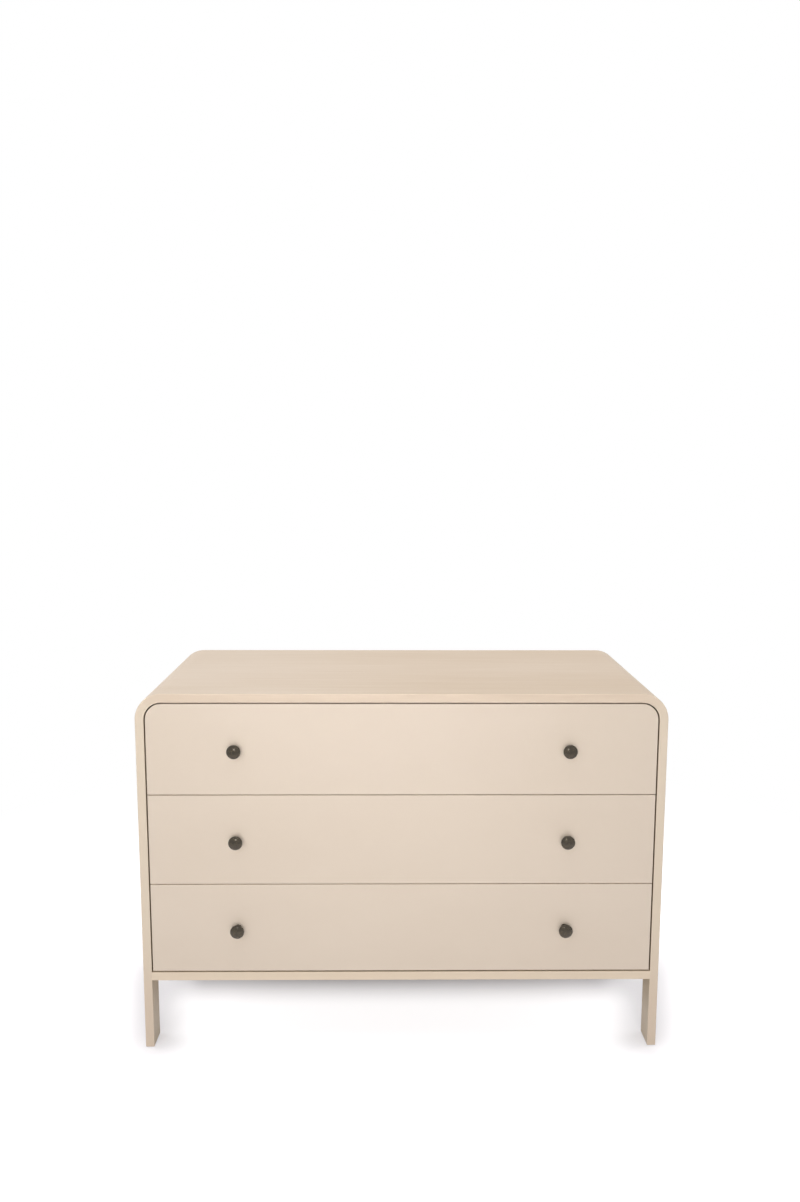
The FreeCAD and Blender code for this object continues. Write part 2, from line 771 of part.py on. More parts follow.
def ball_cages(name, sign, row):
    """Four cage strips of one middle member: two rows run in the outer member, two in the inner."""
    half_width = "dims.cage_width / 2"
    x = lowest_x(
        sign,
        f"{INNER_HALF} - {CAGE_MIDDLE} - {half_width}",
        f"{INNER_HALF} - {CAGE_MIDDLE} + {half_width}",
    )
    rear_start = f"{RUNNER_FRONT} + {RUNNER_LENGTH} - dims.cage_length"
    races = {
        "outer": (rear_start, f"({MIDDLE_HALF_HEIGHT} + dims.cage_clearance)"),
        "inner": (RUNNER_FRONT, f"({INNER_HALF_HEIGHT} + dims.cage_clearance)"),
    }
    cages = []
    for race, (y, offset) in races.items():
        levels = {
            "above": f"{runner_level(row)} + {offset}",
            "below": f"{runner_level(row)} - {offset} - {CAGE_HEIGHT}",
        }
        for level, z in levels.items():
            label = f"{name}_{race}_{level}"
            cages.append(block(label, x, y, z, "dims.cage_width", "dims.cage_length", CAGE_HEIGHT))
    return cages


inner_screw_holes = {}
drawer_runner_screws = {name: [] for name in DRAWERS}
for row, name in enumerate(DRAWERS):
    for side, sign in SIDES.items():
        label = f"runner_{name}_{side}"
        outer = channel(
            f"{label}_outer_body", sign, row, "0", "dims.runner_outer_reach", OUTER_HALF_HEIGHT
        )
        keep(cut(f"{label}_outer", outer, cabinet_screw_holes[name, side]), f"{label}_outer")

        middle = channel(f"{label}_middle_body", sign, row, MIDDLE_WEB, MIDDLE_TIP, MIDDLE_HALF_HEIGHT)
        cages = ball_cages(f"{label}_cage", sign, row)
        keep(together(f"{label}_middle", [middle] + cages), f"{label}_middle")

        inner = channel(
            f"{label}_inner_body", sign, row, "dims.runner_thickness", INNER_TIP, INNER_HALF_HEIGHT
        )
        spots = runner_screw_spots(sign, "(dims.runner_thickness - dims.runner_steel)", row)
        heading = OPPOSITE[side]
        screws = copies(f"{label}_screw", runner_screw_masters[heading], spots)
        drawer_runner_screws[name] += screws
        inner_screw_holes[name, side] = copies(f"{label}_hole", runner_hole_masters[heading], spots)
        keep(cut(f"{label}_inner", inner, inner_screw_holes[name, side]), f"{label}_inner")


# Knobs: turned discs with a low dome, on a round stem
KNOB_UNDERSIDE = "(dims.knob_projection - dims.knob_head_thickness)"
KNOB_SHOULDER = "(dims.knob_projection - dims.knob_dome)"
KNOB = [
    ("0", "0"),
    ("dims.knob_stem_radius", "0"),
    ("dims.knob_stem_radius", KNOB_UNDERSIDE),
    ("dims.knob_radius", KNOB_UNDERSIDE),
    ("dims.knob_radius", KNOB_SHOULDER),
    ("0", "dims.knob_projection"),
]
KNOB_DOME_SIDE = KNOB.index(("dims.knob_radius", KNOB_SHOULDER))


def circles_at(feature, radius, up):
    """Names of the round edges of a turned piece at a radius and a height."""
    names = []
    for number, edge in enumerate(feature.Shape.Edges, start=1):
        if edge.Degenerated or not isinstance(edge.Curve, Part.Circle):
            continue
        curve = edge.Curve
        if abs(curve.Radius - radius) < CLOSE and abs(curve.Center.z - up) < CLOSE:
            names.append(f"Edge{number}")
    return names


knob_body = turned("knob", KNOB, UP, domed=KNOB_DOME_SIDE)
head_radius = value("dims.knob_radius")
head_edges = circles_at(knob_body.Tip, head_radius, value(KNOB_UNDERSIDE))
head_edges += circles_at(knob_body.Tip, head_radius, value(KNOB_SHOULDER))
round_over(knob_body, head_edges, "dims.knob_rim_round")
neck = circles_at(knob_body.Tip, value("dims.knob_stem_radius"), value(KNOB_UNDERSIDE))
round_over(knob_body, neck, "dims.knob_neck_round")
knob_bore = turned(
    "knob_bore",
    hole_outline("(dims.knob_screw_radius + dims.fit_clearance)", "0", "dims.knob_thread_depth"),
    UP,
)
knob_master = cut("knob_master", knob_body, [knob_bore])
knob_master.Placement = FreeCAD.Placement(FreeCAD.Vector(), FreeCAD.Rotation(UP, FORWARD))

KNOB_SCREW_LENGTH = "(dims.front_thickness + dims.knob_screw_bite)"
KNOB_SCREW = [
    ("0", "(-dims.knob_screw_head_height)"),
    ("dims.knob_screw_head_radius", "(-dims.knob_screw_head_height)"),
    ("dims.knob_screw_head_radius", "0"),
    ("dims.knob_screw_radius", "0"),
    ("dims.knob_screw_radius", KNOB_SCREW_LENGTH),
    ("0", KNOB_SCREW_LENGTH),
]
knob_screw_master = turned("knob_screw", KNOB_SCREW, FORWARD)
knob_hole_master = turned(
    "knob_hole",
    hole_outline("(dims.knob_screw_radius + dims.knob_hole_clearance)", "0", "dims.front_thickness"),
    FORWARD,
)


# Drawers: a lacquered front and an open box whose sides and bottom are let into it
def drawer_front(name, row):
    """Front of one drawer, with the dados, groove and knob holes at its back."""
    half = f"({INNER_HALF} - dims.reveal_gap)"
    low = row_floor(row)
    body = upright(
        f"front_{name}", half, low, f"({low} + {FRONT_HEIGHT})", FRONT_Y, "dims.front_thickness"
    )
    if name == DRAWERS[-1]:
        round_upper_corners(body, half, FRONT_HEIGHT, f"({INNER_RADIUS} - dims.reveal_gap)")
    round_over(body, edges_on(body.Tip, y=0), "dims.front_edge_round")
    tools = []
    for side, sign in SIDES.items():
        tools.append(block(
            f"front_dado_{name}_{side}",
            lowest_x(sign, BOX_INNER_HALF, BOX_HALF),
            f"{BOX_FRONT} - dims.front_dado_depth",
            f"{low} + dims.box_lift",
            "dims.box_wall",
            "(2 * dims.front_dado_depth)",
            BOX_HEIGHT,
        ))
    tools.append(block(
        f"front_groove_{name}",
        f"-{BOX_INNER_HALF}",
        f"{BOX_FRONT} - dims.groove_depth",
        f"{low} + dims.box_lift + dims.bottom_lift",
        f"(2 * {BOX_INNER_HALF})",
        "(2 * dims.groove_depth)",
        "(dims.bottom_thickness + dims.groove_clearance)",
    ))
    tools += copies(f"knob_hole_{name}", knob_hole_master, knob_spots(row, BOX_FRONT))
    return cut(f"drawer_{name}_front", body, tools)


def knob_spots(row, y):
    """Places on the axes of the two knobs of a drawer, left first."""
    z = f"{row_floor(row)} + {FRONT_HEIGHT} / 2"
    return [(f"{sign} * dims.knob_spacing / 2", y, z) for sign in SIDES.values()]


def drawer_side(name, row, side, sign):
    """Side of one drawer box, grooved for the bottom and the back."""
    low = f"({row_floor(row)} + dims.box_lift)"
    start = f"({BOX_FRONT} - dims.front_dado_depth)"
    body = slab(
        f"box_side_{name}_{side}",
        lowest_x(sign, BOX_INNER_HALF, BOX_HALF),
        start,
        low,
        "dims.box_wall",
        f"({BOX_DEPTH} + dims.front_dado_depth)",
        BOX_HEIGHT,
    )
    height = value(BOX_HEIGHT)
    upper = edges_on(body.Tip, x=0, z=height) + edges_on(body.Tip, x=value("dims.box_wall"), z=height)
    round_over(body, upper, "dims.box_edge_round")
    groove = block(
        f"side_groove_{name}_{side}",
        lowest_x(
            sign,
            f"{BOX_INNER_HALF} - dims.groove_depth",
            f"{BOX_INNER_HALF} + dims.groove_depth",
        ),
        f"{start} - dims.groove_depth",
        f"{low} + dims.bottom_lift",
        "(2 * dims.groove_depth)",
        f"({BOX_BACK_FACE} + 2 * dims.groove_depth - {start})",
        "(dims.bottom_thickness + dims.groove_clearance)",
    )
    dado = block(
        f"side_dado_{name}_{side}",
        lowest_x(
            sign,
            f"{BOX_INNER_HALF} - dims.back_dado_depth",
            f"{BOX_INNER_HALF} + dims.back_dado_depth",
        ),
        BOX_BACK_FACE,
        f"{low} - dims.bottom_lift",
        "(2 * dims.back_dado_depth)",
        "dims.box_wall",
        f"(2 * {BOX_HEIGHT})",
    )
    return cut(f"drawer_{name}_side_{side}", body, [groove, dado] + inner_screw_holes[name, side])


def drawer_back(name, row):
    """Back of one drawer box, let into the sides and grooved for the bottom."""
    half = f"({BOX_INNER_HALF} + dims.back_dado_depth)"
    low = f"({row_floor(row)} + dims.box_lift)"
    body = slab(
        f"box_back_{name}", f"-{half}", BOX_BACK_FACE, low, f"(2 * {half})", "dims.box_wall", BOX_HEIGHT
    )
    height = value(BOX_HEIGHT)
    upper = edges_on(body.Tip, y=0, z=height) + edges_on(body.Tip, y=value("dims.box_wall"), z=height)
    round_over(body, upper, "dims.box_edge_round")
    groove = block(
        f"back_groove_{name}",
        f"-{half} - dims.groove_depth",
        f"{BOX_BACK_FACE} - dims.groove_depth",
        f"{low} + dims.bottom_lift",
        f"(2 * {half} + 2 * dims.groove_depth)",
        "(2 * dims.groove_depth)",
        "(dims.bottom_thickness + dims.groove_clearance)",
    )
    return cut(f"drawer_{name}_back", body, [groove])


def drawer_bottom(name, row):
    """Bottom of one drawer box, loose in its grooves and resting on their lower faces."""
    half = f"({BOX_INNER_HALF} + dims.groove_depth - dims.groove_clearance)"
    start = f"({BOX_FRONT} - dims.groove_depth + dims.groove_clearance)"
    end = f"({BOX_BACK_FACE} + dims.groove_depth - dims.groove_clearance)"
    return block(
        f"drawer_{name}_bottom",
        f"-{half}",
        start,
        f"{row_floor(row)} + dims.box_lift + dims.bottom_lift",
        f"(2 * {half})",
        f"({end} - {start})",
        "dims.bottom_thickness",
    )


for row, name in enumerate(DRAWERS):
    label = f"drawer_{name}"
    keep(drawer_front(name, row), f"{label}_front")
    for side, sign in SIDES.items():
        keep(drawer_side(name, row, side, sign), f"{label}_side_{side}")
    keep(drawer_back(name, row), f"{label}_back")
    keep(drawer_bottom(name, row), f"{label}_bottom")
    for side, spot in zip(SIDES, knob_spots(row, FRONT_Y)):
        knob = copies(f"{label}_knob_{side}_copy", knob_master, [spot])
        keep(together(f"{label}_knob_{side}", knob), f"{label}_knob_{side}")
    knob_screws = copies(f"{label}_knob_screw", knob_screw_master, knob_spots(row, BOX_FRONT))
    keep(together(f"{label}_knob_screws", knob_screws), f"{label}_knob_screws")
    keep(together(f"{label}_runner_screws", drawer_runner_screws[name]), f"{label}_runner_screws")

doc.recompute()

# Every object must be sound before anything is written
for item in doc.Objects:
    if "Invalid" in item.State or "Error" in item.State:
        raise RuntimeError(f"{item.Name} failed: {item.State}")
for part in subparts:
    if part.Shape.isNull() or not part.Shape.isValid() or not part.Shape.Solids:
        raise RuntimeError(f"{part.Label} has no sound solid")

os.makedirs("parts", exist_ok=True)
for part in subparts:
    part.Shape.exportStep(f"parts/{part.Label}.step")
    print(part.Label, len(part.Shape.Solids), round(part.Shape.Volume, 1))
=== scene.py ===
import math

import bpy
from mathutils import Matrix, Vector


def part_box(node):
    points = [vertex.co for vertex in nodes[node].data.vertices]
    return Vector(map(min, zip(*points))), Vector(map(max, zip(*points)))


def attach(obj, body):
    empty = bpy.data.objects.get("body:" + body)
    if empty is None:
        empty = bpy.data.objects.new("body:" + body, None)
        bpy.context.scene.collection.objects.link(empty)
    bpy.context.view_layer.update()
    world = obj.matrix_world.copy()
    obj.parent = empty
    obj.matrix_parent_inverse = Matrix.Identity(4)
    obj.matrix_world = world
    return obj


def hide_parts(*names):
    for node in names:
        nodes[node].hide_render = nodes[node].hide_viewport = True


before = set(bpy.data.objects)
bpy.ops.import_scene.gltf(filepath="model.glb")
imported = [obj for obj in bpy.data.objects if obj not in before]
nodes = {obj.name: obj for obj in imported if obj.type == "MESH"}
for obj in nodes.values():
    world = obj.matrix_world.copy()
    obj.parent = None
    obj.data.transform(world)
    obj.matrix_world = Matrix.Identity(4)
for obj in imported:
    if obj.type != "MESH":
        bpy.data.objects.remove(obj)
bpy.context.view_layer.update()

MM = 0.001
DRAWERS = ("lower", "centre", "upper")
SIDES = {"left": -1, "right": 1}

# Case shell: a top panel, two corner bends and two side panels, dowelled and glued into one arch.
# The board is faced with oak veneer, washed to a pale beige under matt lacquer. The veneer runs along
# the top, round the bends and down to the feet, and a strip of oak tape closes the front and back edges.
case_low, case_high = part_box("side_panel_left")
CASE_FRONT = case_low.y
CASE_BACK = case_high.y
bend_low, bend_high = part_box("corner_bend_right")
BEND_X = bend_low.x
BEND_Z = bend_low.z
BEND_RADIUS = bend_high.x - bend_low.x
LEG_RUN = BEND_X + BEND_RADIUS * math.pi / 2 + BEND_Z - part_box("bottom_panel")[0].z

# The Mix node's colour sockets share their names with its other sockets, so numbers pick them.
MIX_FACTOR, MIX_FIRST, MIX_SECOND, MIX_RESULT = 0, 6, 7, 2
X_AXIS, Y_AXIS, Z_AXIS = 0, 1, 2
NOISE_DETAIL = 2.0
NOISE_ROUGHNESS = 0.55
# A pattern varies round 0.5, and a surface changes while its pattern goes through one of these spans.
WIDE_SPAN = (0.3, 0.7)
NARROW_SPAN = (0.35, 0.65)
CLEAR_LACQUER_IOR = 1.5


def linear(hex_colour):
    """The linear RGBA that a shader takes for an sRGB hex colour."""
    parts = [int(hex_colour[at:at + 2], 16) / 255 for at in (1, 3, 5)]
    return [part / 12.92 if part <= 0.04045 else ((part + 0.055) / 1.055) ** 2.4 for part in parts] + [1.0]


def add(tree, kind, inputs=None, **settings):
    """Adds a node, sets its settings, and fills its inputs with values or links."""
    new = tree.nodes.new(kind)
    for name, setting in settings.items():
        setattr(new, name, setting)
    for name, given in (inputs or {}).items():
        if isinstance(given, bpy.types.NodeSocket):
            tree.links.new(given, new.inputs[name])
        else:
            new.inputs[name].default_value = given
    return new


def calculate(tree, operation, *values, **settings):
    """The result of one sum on values or sockets."""
    return add(tree, "ShaderNodeMath", dict(enumerate(values)), operation=operation, **settings).outputs[0]


def start_material(name, **sockets):
    """A node material with its shader, whose constant sockets are set here, and its object coordinates."""
    material = bpy.data.materials.new(name)
    material.use_nodes = True
    tree = material.node_tree
    tree.nodes.clear()
    settings = {socket.replace("_", " "): given for socket, given in sockets.items()}
    shader = add(tree, "ShaderNodeBsdfPrincipled", settings)
    add(tree, "ShaderNodeOutputMaterial", {"Surface": shader.outputs["BSDF"]})
    coordinates = add(tree, "ShaderNodeTexCoord").outputs
    return material, tree, shader, coordinates


def figure(tree, place, along, layers):
    """Adds up noise drawn out along one axis. Each layer has a run and a width in mm, and a weight."""
    total = 0.5
    for run, width, weight in layers:
        scale = [1 / (width * MM)] * 3
        scale[along] = 1 / (run * MM)
        drawn = add(tree, "ShaderNodeMapping", {"Vector": place, "Scale": scale})
        noise = add(tree, "ShaderNodeTexNoise", {
            "Vector": drawn.outputs["Vector"], "Scale": 1.0,
            "Detail": NOISE_DETAIL, "Roughness": NOISE_ROUGHNESS,
        })
        part = calculate(tree, "MULTIPLY_ADD", noise.outputs[0], weight, -weight / 2)
        total = calculate(tree, "ADD", part, total)
    return total


def between(tree, factor, first, second):
    """A colour between two colours, given as hex or as sockets."""
    ends = [linear(end) if isinstance(end, str) else end for end in (first, second)]
    mix = add(tree, "ShaderNodeMix", {MIX_FACTOR: factor, MIX_FIRST: ends[0], MIX_SECOND: ends[1]},
              data_type="RGBA")
    return mix.outputs[MIX_RESULT]


def ramp(tree, given, low, high, start=0.0, end=1.0):
    """A smooth change from start to end while a value goes from low to high."""
    change = add(tree, "ShaderNodeMapRange", {
        "Value": given, "From Min": low, "From Max": high, "To Min": start, "To Max": end,
    }, interpolation_type="SMOOTHSTEP")
    return change.outputs[0]


def sheen(tree, shader, pattern, smooth, rough, span=WIDE_SPAN):
    """Takes a surface from smooth to rough while a pattern goes through its span."""
    tree.links.new(ramp(tree, pattern, *span, smooth, rough), shader.inputs["Roughness"])


def relief(tree, shader, height, depth):
    """Gives a surface the relief of a pattern, whose depth is in mm."""
    bump = add(tree, "ShaderNodeBump", {"Height": height, "Distance": depth * MM, "Strength": 1.0})
    tree.links.new(bump.outputs["Normal"], shader.inputs["Normal"])


def facing(tree, coordinates, axis):
    """How squarely a surface faces along an axis, whichever way: 0 to 1."""
    normal = add(tree, "ShaderNodeSeparateXYZ", {"Vector": coordinates["Normal"]}).outputs
    return calculate(tree, "ABSOLUTE", normal[axis])


def wrapped_round_case(tree, place):
    """Where a spot would lie if the veneer were laid flat, its run from the middle of the top, and the
    way out of the case."""
    parts = add(tree, "ShaderNodeSeparateXYZ", {"Vector": place}).outputs
    across = calculate(tree, "ABSOLUTE", parts["X"])
    flat = calculate(tree, "MINIMUM", across, BEND_X)
    beyond = calculate(tree, "SUBTRACT", across, flat)
    upright = calculate(tree, "MINIMUM", parts["Z"], BEND_Z)
    above = calculate(tree, "SUBTRACT", parts["Z"], upright)
    turn = calculate(tree, "ARCTAN2", beyond, above)
    below = calculate(tree, "SUBTRACT", BEND_Z, upright)
    straight = calculate(tree, "ADD", flat, below)
    run = calculate(tree, "MULTIPLY_ADD", turn, BEND_RADIUS, straight)
    side = calculate(tree, "SIGN", parts["X"])
    run = calculate(tree, "MULTIPLY", run, side)
    radial = add(tree, "ShaderNodeCombineXYZ", {"X": beyond, "Y": 0.0, "Z": above}).outputs[0]
    depth = add(tree, "ShaderNodeVectorMath", {0: radial}, operation="LENGTH").outputs["Value"]
    outward = calculate(tree, "MULTIPLY", beyond, side)
    outward = add(tree, "ShaderNodeCombineXYZ", {"X": outward, "Y": 0.0, "Z": above}).outputs[0]
    outward = add(tree, "ShaderNodeVectorMath", {0: outward}, operation="NORMALIZE").outputs["Vector"]
    laid = add(tree, "ShaderNodeCombineXYZ", {"X": run, "Y": parts["Y"], "Z": depth}).outputs[0]
    return laid, run, outward


# The wash fills the pores, so the eye gets soft streaks along the grain and slow changes of tone.
# Oak pores are 0.2 to 0.3 mm wide: the finest layer of the grain is about eight times as coarse, to show.
VENEER_GRAIN = [(160, 2.2, 0.75), (420, 9, 0.5), (900, 240, 0.9)]
TAPE_GRAIN = [(90, 1.6, 0.6), (300, 8, 0.4)]
PORES = [(7, 0.5, 1.0)]
PORE_DEPTH = 0.03
VENEER_SMOOTH = 0.46
VENEER_ROUGH = 0.58
# The tone drifts from pale on the left to deeper past the middle, over this run in metres.
DRIFT_RUN = (-0.5, 0.05)
DRIFT = 0.16
# Where the wrapped veneer changes its tones, in metres along its run.
SIDE_TAPE_RUN = (BEND_X - 0.03, BEND_X + 0.09)
FOOT_TAPE_RUN = (LEG_RUN - 0.15, LEG_RUN + 0.1)
INSIDE_ENDS_RUN = (LEG_RUN - 0.016, LEG_RUN - 0.004)
LEG_FADES_RUN = (LEG_RUN, LEG_RUN + 0.12)
# How a surface is turned where it counts as an inner face, and as a taped edge.
TURNED_IN = (-0.3, -0.6)
TURNED_TO_EDGE = (0.45, 0.6)


def washed_oak(name, pale, deep, tape_pale, tape_deep, wrapped=None):
    """Oak veneer with taped edges. It runs along X, or round the case where the tones of wrapped veneer
    are given; these carry painted shade inside the case, on the legs' inner faces and at the feet."""
    material, tree, shader, coordinates = start_material(name, IOR=CLEAR_LACQUER_IOR)
    place = coordinates["Object"]
    run = add(tree, "ShaderNodeSeparateXYZ", {"Vector": place}).outputs["X"]
    if wrapped:
        place, run, outward = wrapped_round_case(tree, place)
    grain = figure(tree, place, X_AXIS, VENEER_GRAIN)
    drift = ramp(tree, run, *DRIFT_RUN, -DRIFT, DRIFT)
    tone = calculate(tree, "ADD", grain, drift, use_clamp=True)
    face = between(tree, tone, pale, deep)
    tape = between(tree, figure(tree, place, X_AXIS, TAPE_GRAIN), tape_pale, tape_deep)
    if wrapped:
        from_middle = calculate(tree, "ABSOLUTE", run)
        # Painted shade on the legs' inner faces under the case, lighter towards the floor.
        leg = between(tree, tone, wrapped["leg shade pale"], wrapped["leg shade deep"])
        leg = between(tree, ramp(tree, from_middle, *LEG_FADES_RUN), leg, wrapped["leg shade at foot"])
        # Painted shade on the faces inside the case, which darkens the gaps round the drawers.
        inner = between(tree, tone, wrapped["inside shade pale"], wrapped["inside shade deep"])
        inner = between(tree, ramp(tree, from_middle, *INSIDE_ENDS_RUN), inner, leg)
        turned_out = add(tree, "ShaderNodeVectorMath", {0: coordinates["Normal"], 1: outward},
                         operation="DOT_PRODUCT").outputs["Value"]
        face = between(tree, ramp(tree, turned_out, *TURNED_IN), face, inner)
        tape = between(tree, ramp(tree, from_middle, *SIDE_TAPE_RUN), tape, wrapped["side tape"])
        # Painted shade: the tape turns deeper towards the feet.
        tape = between(tree, ramp(tree, from_middle, *FOOT_TAPE_RUN), tape, wrapped["foot tape shade"])
    on_edge = ramp(tree, facing(tree, coordinates, "Y"), *TURNED_TO_EDGE)
    tree.links.new(between(tree, on_edge, face, tape), shader.inputs["Base Color"])
    pores = figure(tree, place, X_AXIS, PORES)
    sheen(tree, shader, pores, VENEER_SMOOTH, VENEER_ROUGH)
    relief(tree, shader, pores, PORE_DEPTH)
    return material


# The tape is a little paler down the sides, and painted deeper at the feet as shade towards the floor.
# Inside the case the veneer is painted deeper as shade in the gaps round the drawers, and the inner faces
# of the legs are painted as shaded under the case, lighter towards the floor.
veneer = washed_oak("washed_oak_veneer_matt_lacquer", "#e2d1bf", "#d1bba2", "#e6d3be", "#dac6af", {
    "side tape": "#e5d5bf", "foot tape shade": "#decbb5",
    "inside shade pale": "#b09d82", "inside shade deep": "#9b876b",
    "leg shade pale": "#dbc9ad", "leg shade deep": "#cdba9a", "leg shade at foot": "#eadac1",
})
for name in ("top_panel", "corner_bend_left", "corner_bend_right", "side_panel_left", "side_panel_right"):
    nodes[name].material_slots[0].material = veneer

# Bottom panel: a board of the same veneer, set between the sides on dowels. Its own front edge shows
# as the rail under the drawers, so its grain and its tape run from side to side. Its faces are painted
# deeper, as shade in the gap under the lowest drawer.
rail_veneer_shaded_faces = washed_oak("washed_oak_veneer_rail", "#c9b89d", "#b7a488", "#ecdcc5", "#e5d1b8")
nodes["bottom_panel"].material_slots[0].material = rail_veneer_shaded_faces

# Back panel: thin plywood, screwed into the recess round the back of the case and left unstained.
# Sheets of birch are glued crosswise and sanded, so the face is plain and its edges show the sheets.
BIRCH_GRAIN = [(220, 3.5, 0.7), (700, 26, 0.7), (400, 160, 0.5)]
BIRCH_FLECKS = [(5, 0.7, 1.0)]
FLECK_DEPTH = 0.02
BIRCH_SMOOTH = 0.42
BIRCH_ROUGH = 0.56
BACK_SHEET = 1.5
SHEET_BLEND = 0.45
TURNED_TO_FACE = (0.4, 0.6)


def birch_ply(name, along, through, sheet, pale, deep, glue):
    """Birch plywood with its grain along one axis and its sheets stacked through another."""
    material, tree, shader, coordinates = start_material(name, IOR=CLEAR_LACQUER_IOR)
    place = coordinates["Object"]
    face = between(tree, figure(tree, place, along, BIRCH_GRAIN), pale, deep)
    axis = "XYZ"[through]
    depth = add(tree, "ShaderNodeSeparateXYZ", {"Vector": place}).outputs[axis]
    wave = calculate(tree, "MULTIPLY", depth, math.pi / (sheet * MM))
    wave = calculate(tree, "SINE", wave)
    sheets = between(tree, ramp(tree, wave, -SHEET_BLEND, SHEET_BLEND), glue, face)
    on_face = ramp(tree, facing(tree, coordinates, axis), *TURNED_TO_FACE)
    tree.links.new(between(tree, on_face, sheets, face), shader.inputs["Base Color"])
    flecks = figure(tree, place, along, BIRCH_FLECKS)
    sheen(tree, shader, flecks, BIRCH_SMOOTH, BIRCH_ROUGH)
    relief(tree, shader, flecks, FLECK_DEPTH)
    return material


nodes["back_panel"].material_slots[0].material = birch_ply(
    "birch_plywood_back", X_AXIS, Y_AXIS, BACK_SHEET, "#dfcdb0", "#cdb893", "#ad9169")

# Rails: a rear rail under the top, which takes the wall strap, and two divider rails behind the seams.
# They are board closed with a printed beige foil, so the grain is faint and the sheen is even.
PRINTED_GRAIN = [(120, 2.5, 0.5), (500, 18, 0.5)]


def figured_material(name, layers, pale, deep, gloss=None, depth=None,
                     along=X_AXIS, span=WIDE_SPAN, **sockets):
    """A material whose one pattern changes its colour, and its roughness and relief where they are
    given: gloss is the smooth and the rough end, and depth is in mm."""
    material, tree, shader, coordinates = start_material(name, **sockets)
    pattern = figure(tree, coordinates["Object"], along, layers)
    tree.links.new(between(tree, pattern, pale, deep), shader.inputs["Base Color"])
    if gloss:
        sheen(tree, shader, pattern, *gloss, span)
    if depth:
        relief(tree, shader, pattern, depth)
    return material


foil = figured_material("beige_foiled_board", PRINTED_GRAIN, "#dccbb3", "#cdb99d",
                        gloss=(0.4, 0.5), depth=0.02, span=NARROW_SPAN, IOR=1.48)
for name in ("rear_rail", "divider_rail_lower", "divider_rail_upper"):
    nodes[name].material_slots[0].material = foil

# Dowels: beech pins, glued into both pieces of each joint and left bare.
# Beech is pinkish brown with short dark rays, and the sawn surface is dull.
BEECH_RAYS = [(3, 0.4, 0.9), (20, 1.2, 0.5)]
nodes["panel_dowels"].material_slots[0].material = figured_material(
    "bare_beech", BEECH_RAYS, "#d9b78e", "#b98f63", depth=0.05, Roughness=0.7, IOR=1.45)

# Foot glides: discs of brown nylon, each moulded with a pin that is driven up into the leg.
# Moulded nylon has a fine even grain and a soft sheen, with paler scuffs from the floor.
SCUFFS = [(0.8, 0.8, 0.7), (6, 2, 0.6)]
nodes["foot_glides"].material_slots[0].material = figured_material(
    "moulded_brown_nylon", SCUFFS, "#5b4f42", "#74685a", gloss=(0.38, 0.6), depth=0.03, IOR=1.53)

# Screws: cold-headed steel with bright zinc, driven home with a cross bit. The back panel's are
# countersunk, and the runners' and knobs' have low round heads. Each stopped at its own angle.
CROSS_LENGTH_SHARE = 1.15
CROSS_WIDTH_SHARE = 0.3
CROSS_DEPTH_SHARE = 0.42
SCREW_SIDES = 28
SCREW_HEAD_STEPS = 6
SCREW_RIM_SHARE = 0.35
SCREW_POINT_RADIUS = 0.3
SCREW_POINT_HEIGHT = 0.1
SCREW_TIP = 3
SHARP_ANGLE = 32
PLATING = [(0.9, 0.9, 0.8), (4, 4, 0.5)]
zinc_screw = figured_material("bright_zinc_screw", PLATING, "#d3d4d4", "#b3b3ae",
                              gloss=(0.26, 0.42), Metallic=1.0)


def arc(across, up, radius, start, end, steps):
    """Points on a round stretch of an outline, from one angle in degrees to another."""
    angles = [math.radians(start + (end - start) * step / steps) for step in range(steps + 1)]
    return [(across + radius * math.cos(angle), up + radius * math.sin(angle)) for angle in angles]


def new_object(name, data):
    """An object in the scene that shows a mesh, a lamp or a camera."""
    made = bpy.data.objects.new(name, data)
    bpy.context.collection.objects.link(made)
    return made


def lathed(name, outline, sides, hollows_and_rim_shade=None):
    """A turned piece round the Z axis, from its outline in mm, bottom centre to top centre."""
    rings = outline[1:-1]
    corners = [(0, 0, outline[0][1] * MM)]
    for radius, height in rings:
        for side in range(sides):
            angle = math.tau * side / sides
            corners.append((radius * math.cos(angle) * MM, radius * math.sin(angle) * MM, height * MM))
    corners.append((0, 0, outline[-1][1] * MM))
    last = len(corners) - 1
    faces = []
    for side in range(sides):
        after = (side + 1) % sides
        faces.append((0, 1 + after, 1 + side))
        for ring in range(len(rings) - 1):
            low = 1 + ring * sides
            faces.append((low + side, low + after, low + sides + after, low + sides + side))
        top = 1 + (len(rings) - 1) * sides
        faces.append((last, top + side, top + after))
    mesh = bpy.data.meshes.new(name)
    mesh.from_pydata(corners, [], faces)
    mesh.update()
    if hollows_and_rim_shade:
        layer = mesh.attributes.new("hollow_and_rim_shade", "FLOAT", "POINT")
        for ring, hollow_and_rim_shade in enumerate(hollows_and_rim_shade):
            for side in range(sides):
                layer.data[1 + ring * sides + side].value = hollow_and_rim_shade
    return new_object(name, mesh)


def spots_mesh(name, spots):
    """Loose points, each with the way that the piece on it faces. Spots are in metres."""
    mesh = bpy.data.meshes.new(name)
    mesh.from_pydata([place for place, _ in spots], [], [])
    ways = mesh.attributes.new("facing", "FLOAT_VECTOR", "POINT")
    for point, (_, way) in zip(ways.data, spots):
        point.vector = way
    return new_object(name, mesh)


def new_geometry_tree(name, sockets):
    """A Geometry Nodes tree with its named inputs, and the sockets that they come in by."""
    tree = bpy.data.node_groups.new(name, "GeometryNodeTree")
    for label, kind in sockets.items():
        tree.interface.new_socket(label, in_out="INPUT", socket_type=f"NodeSocket{kind}")
    tree.interface.new_socket("Geometry", in_out="OUTPUT", socket_type="NodeSocketGeometry")
    return tree, add(tree, "NodeGroupInput").outputs


def close_geometry_tree(tree, pieces, material):
    """Ends a tree in real geometry with its material."""
    real = add(tree, "GeometryNodeRealizeInstances", {"Geometry": pieces}).outputs[0]
    painted = add(tree, "GeometryNodeSetMaterial", {"Geometry": real, "Material": material}).outputs[0]
    add(tree, "NodeGroupOutput", {"Geometry": painted})


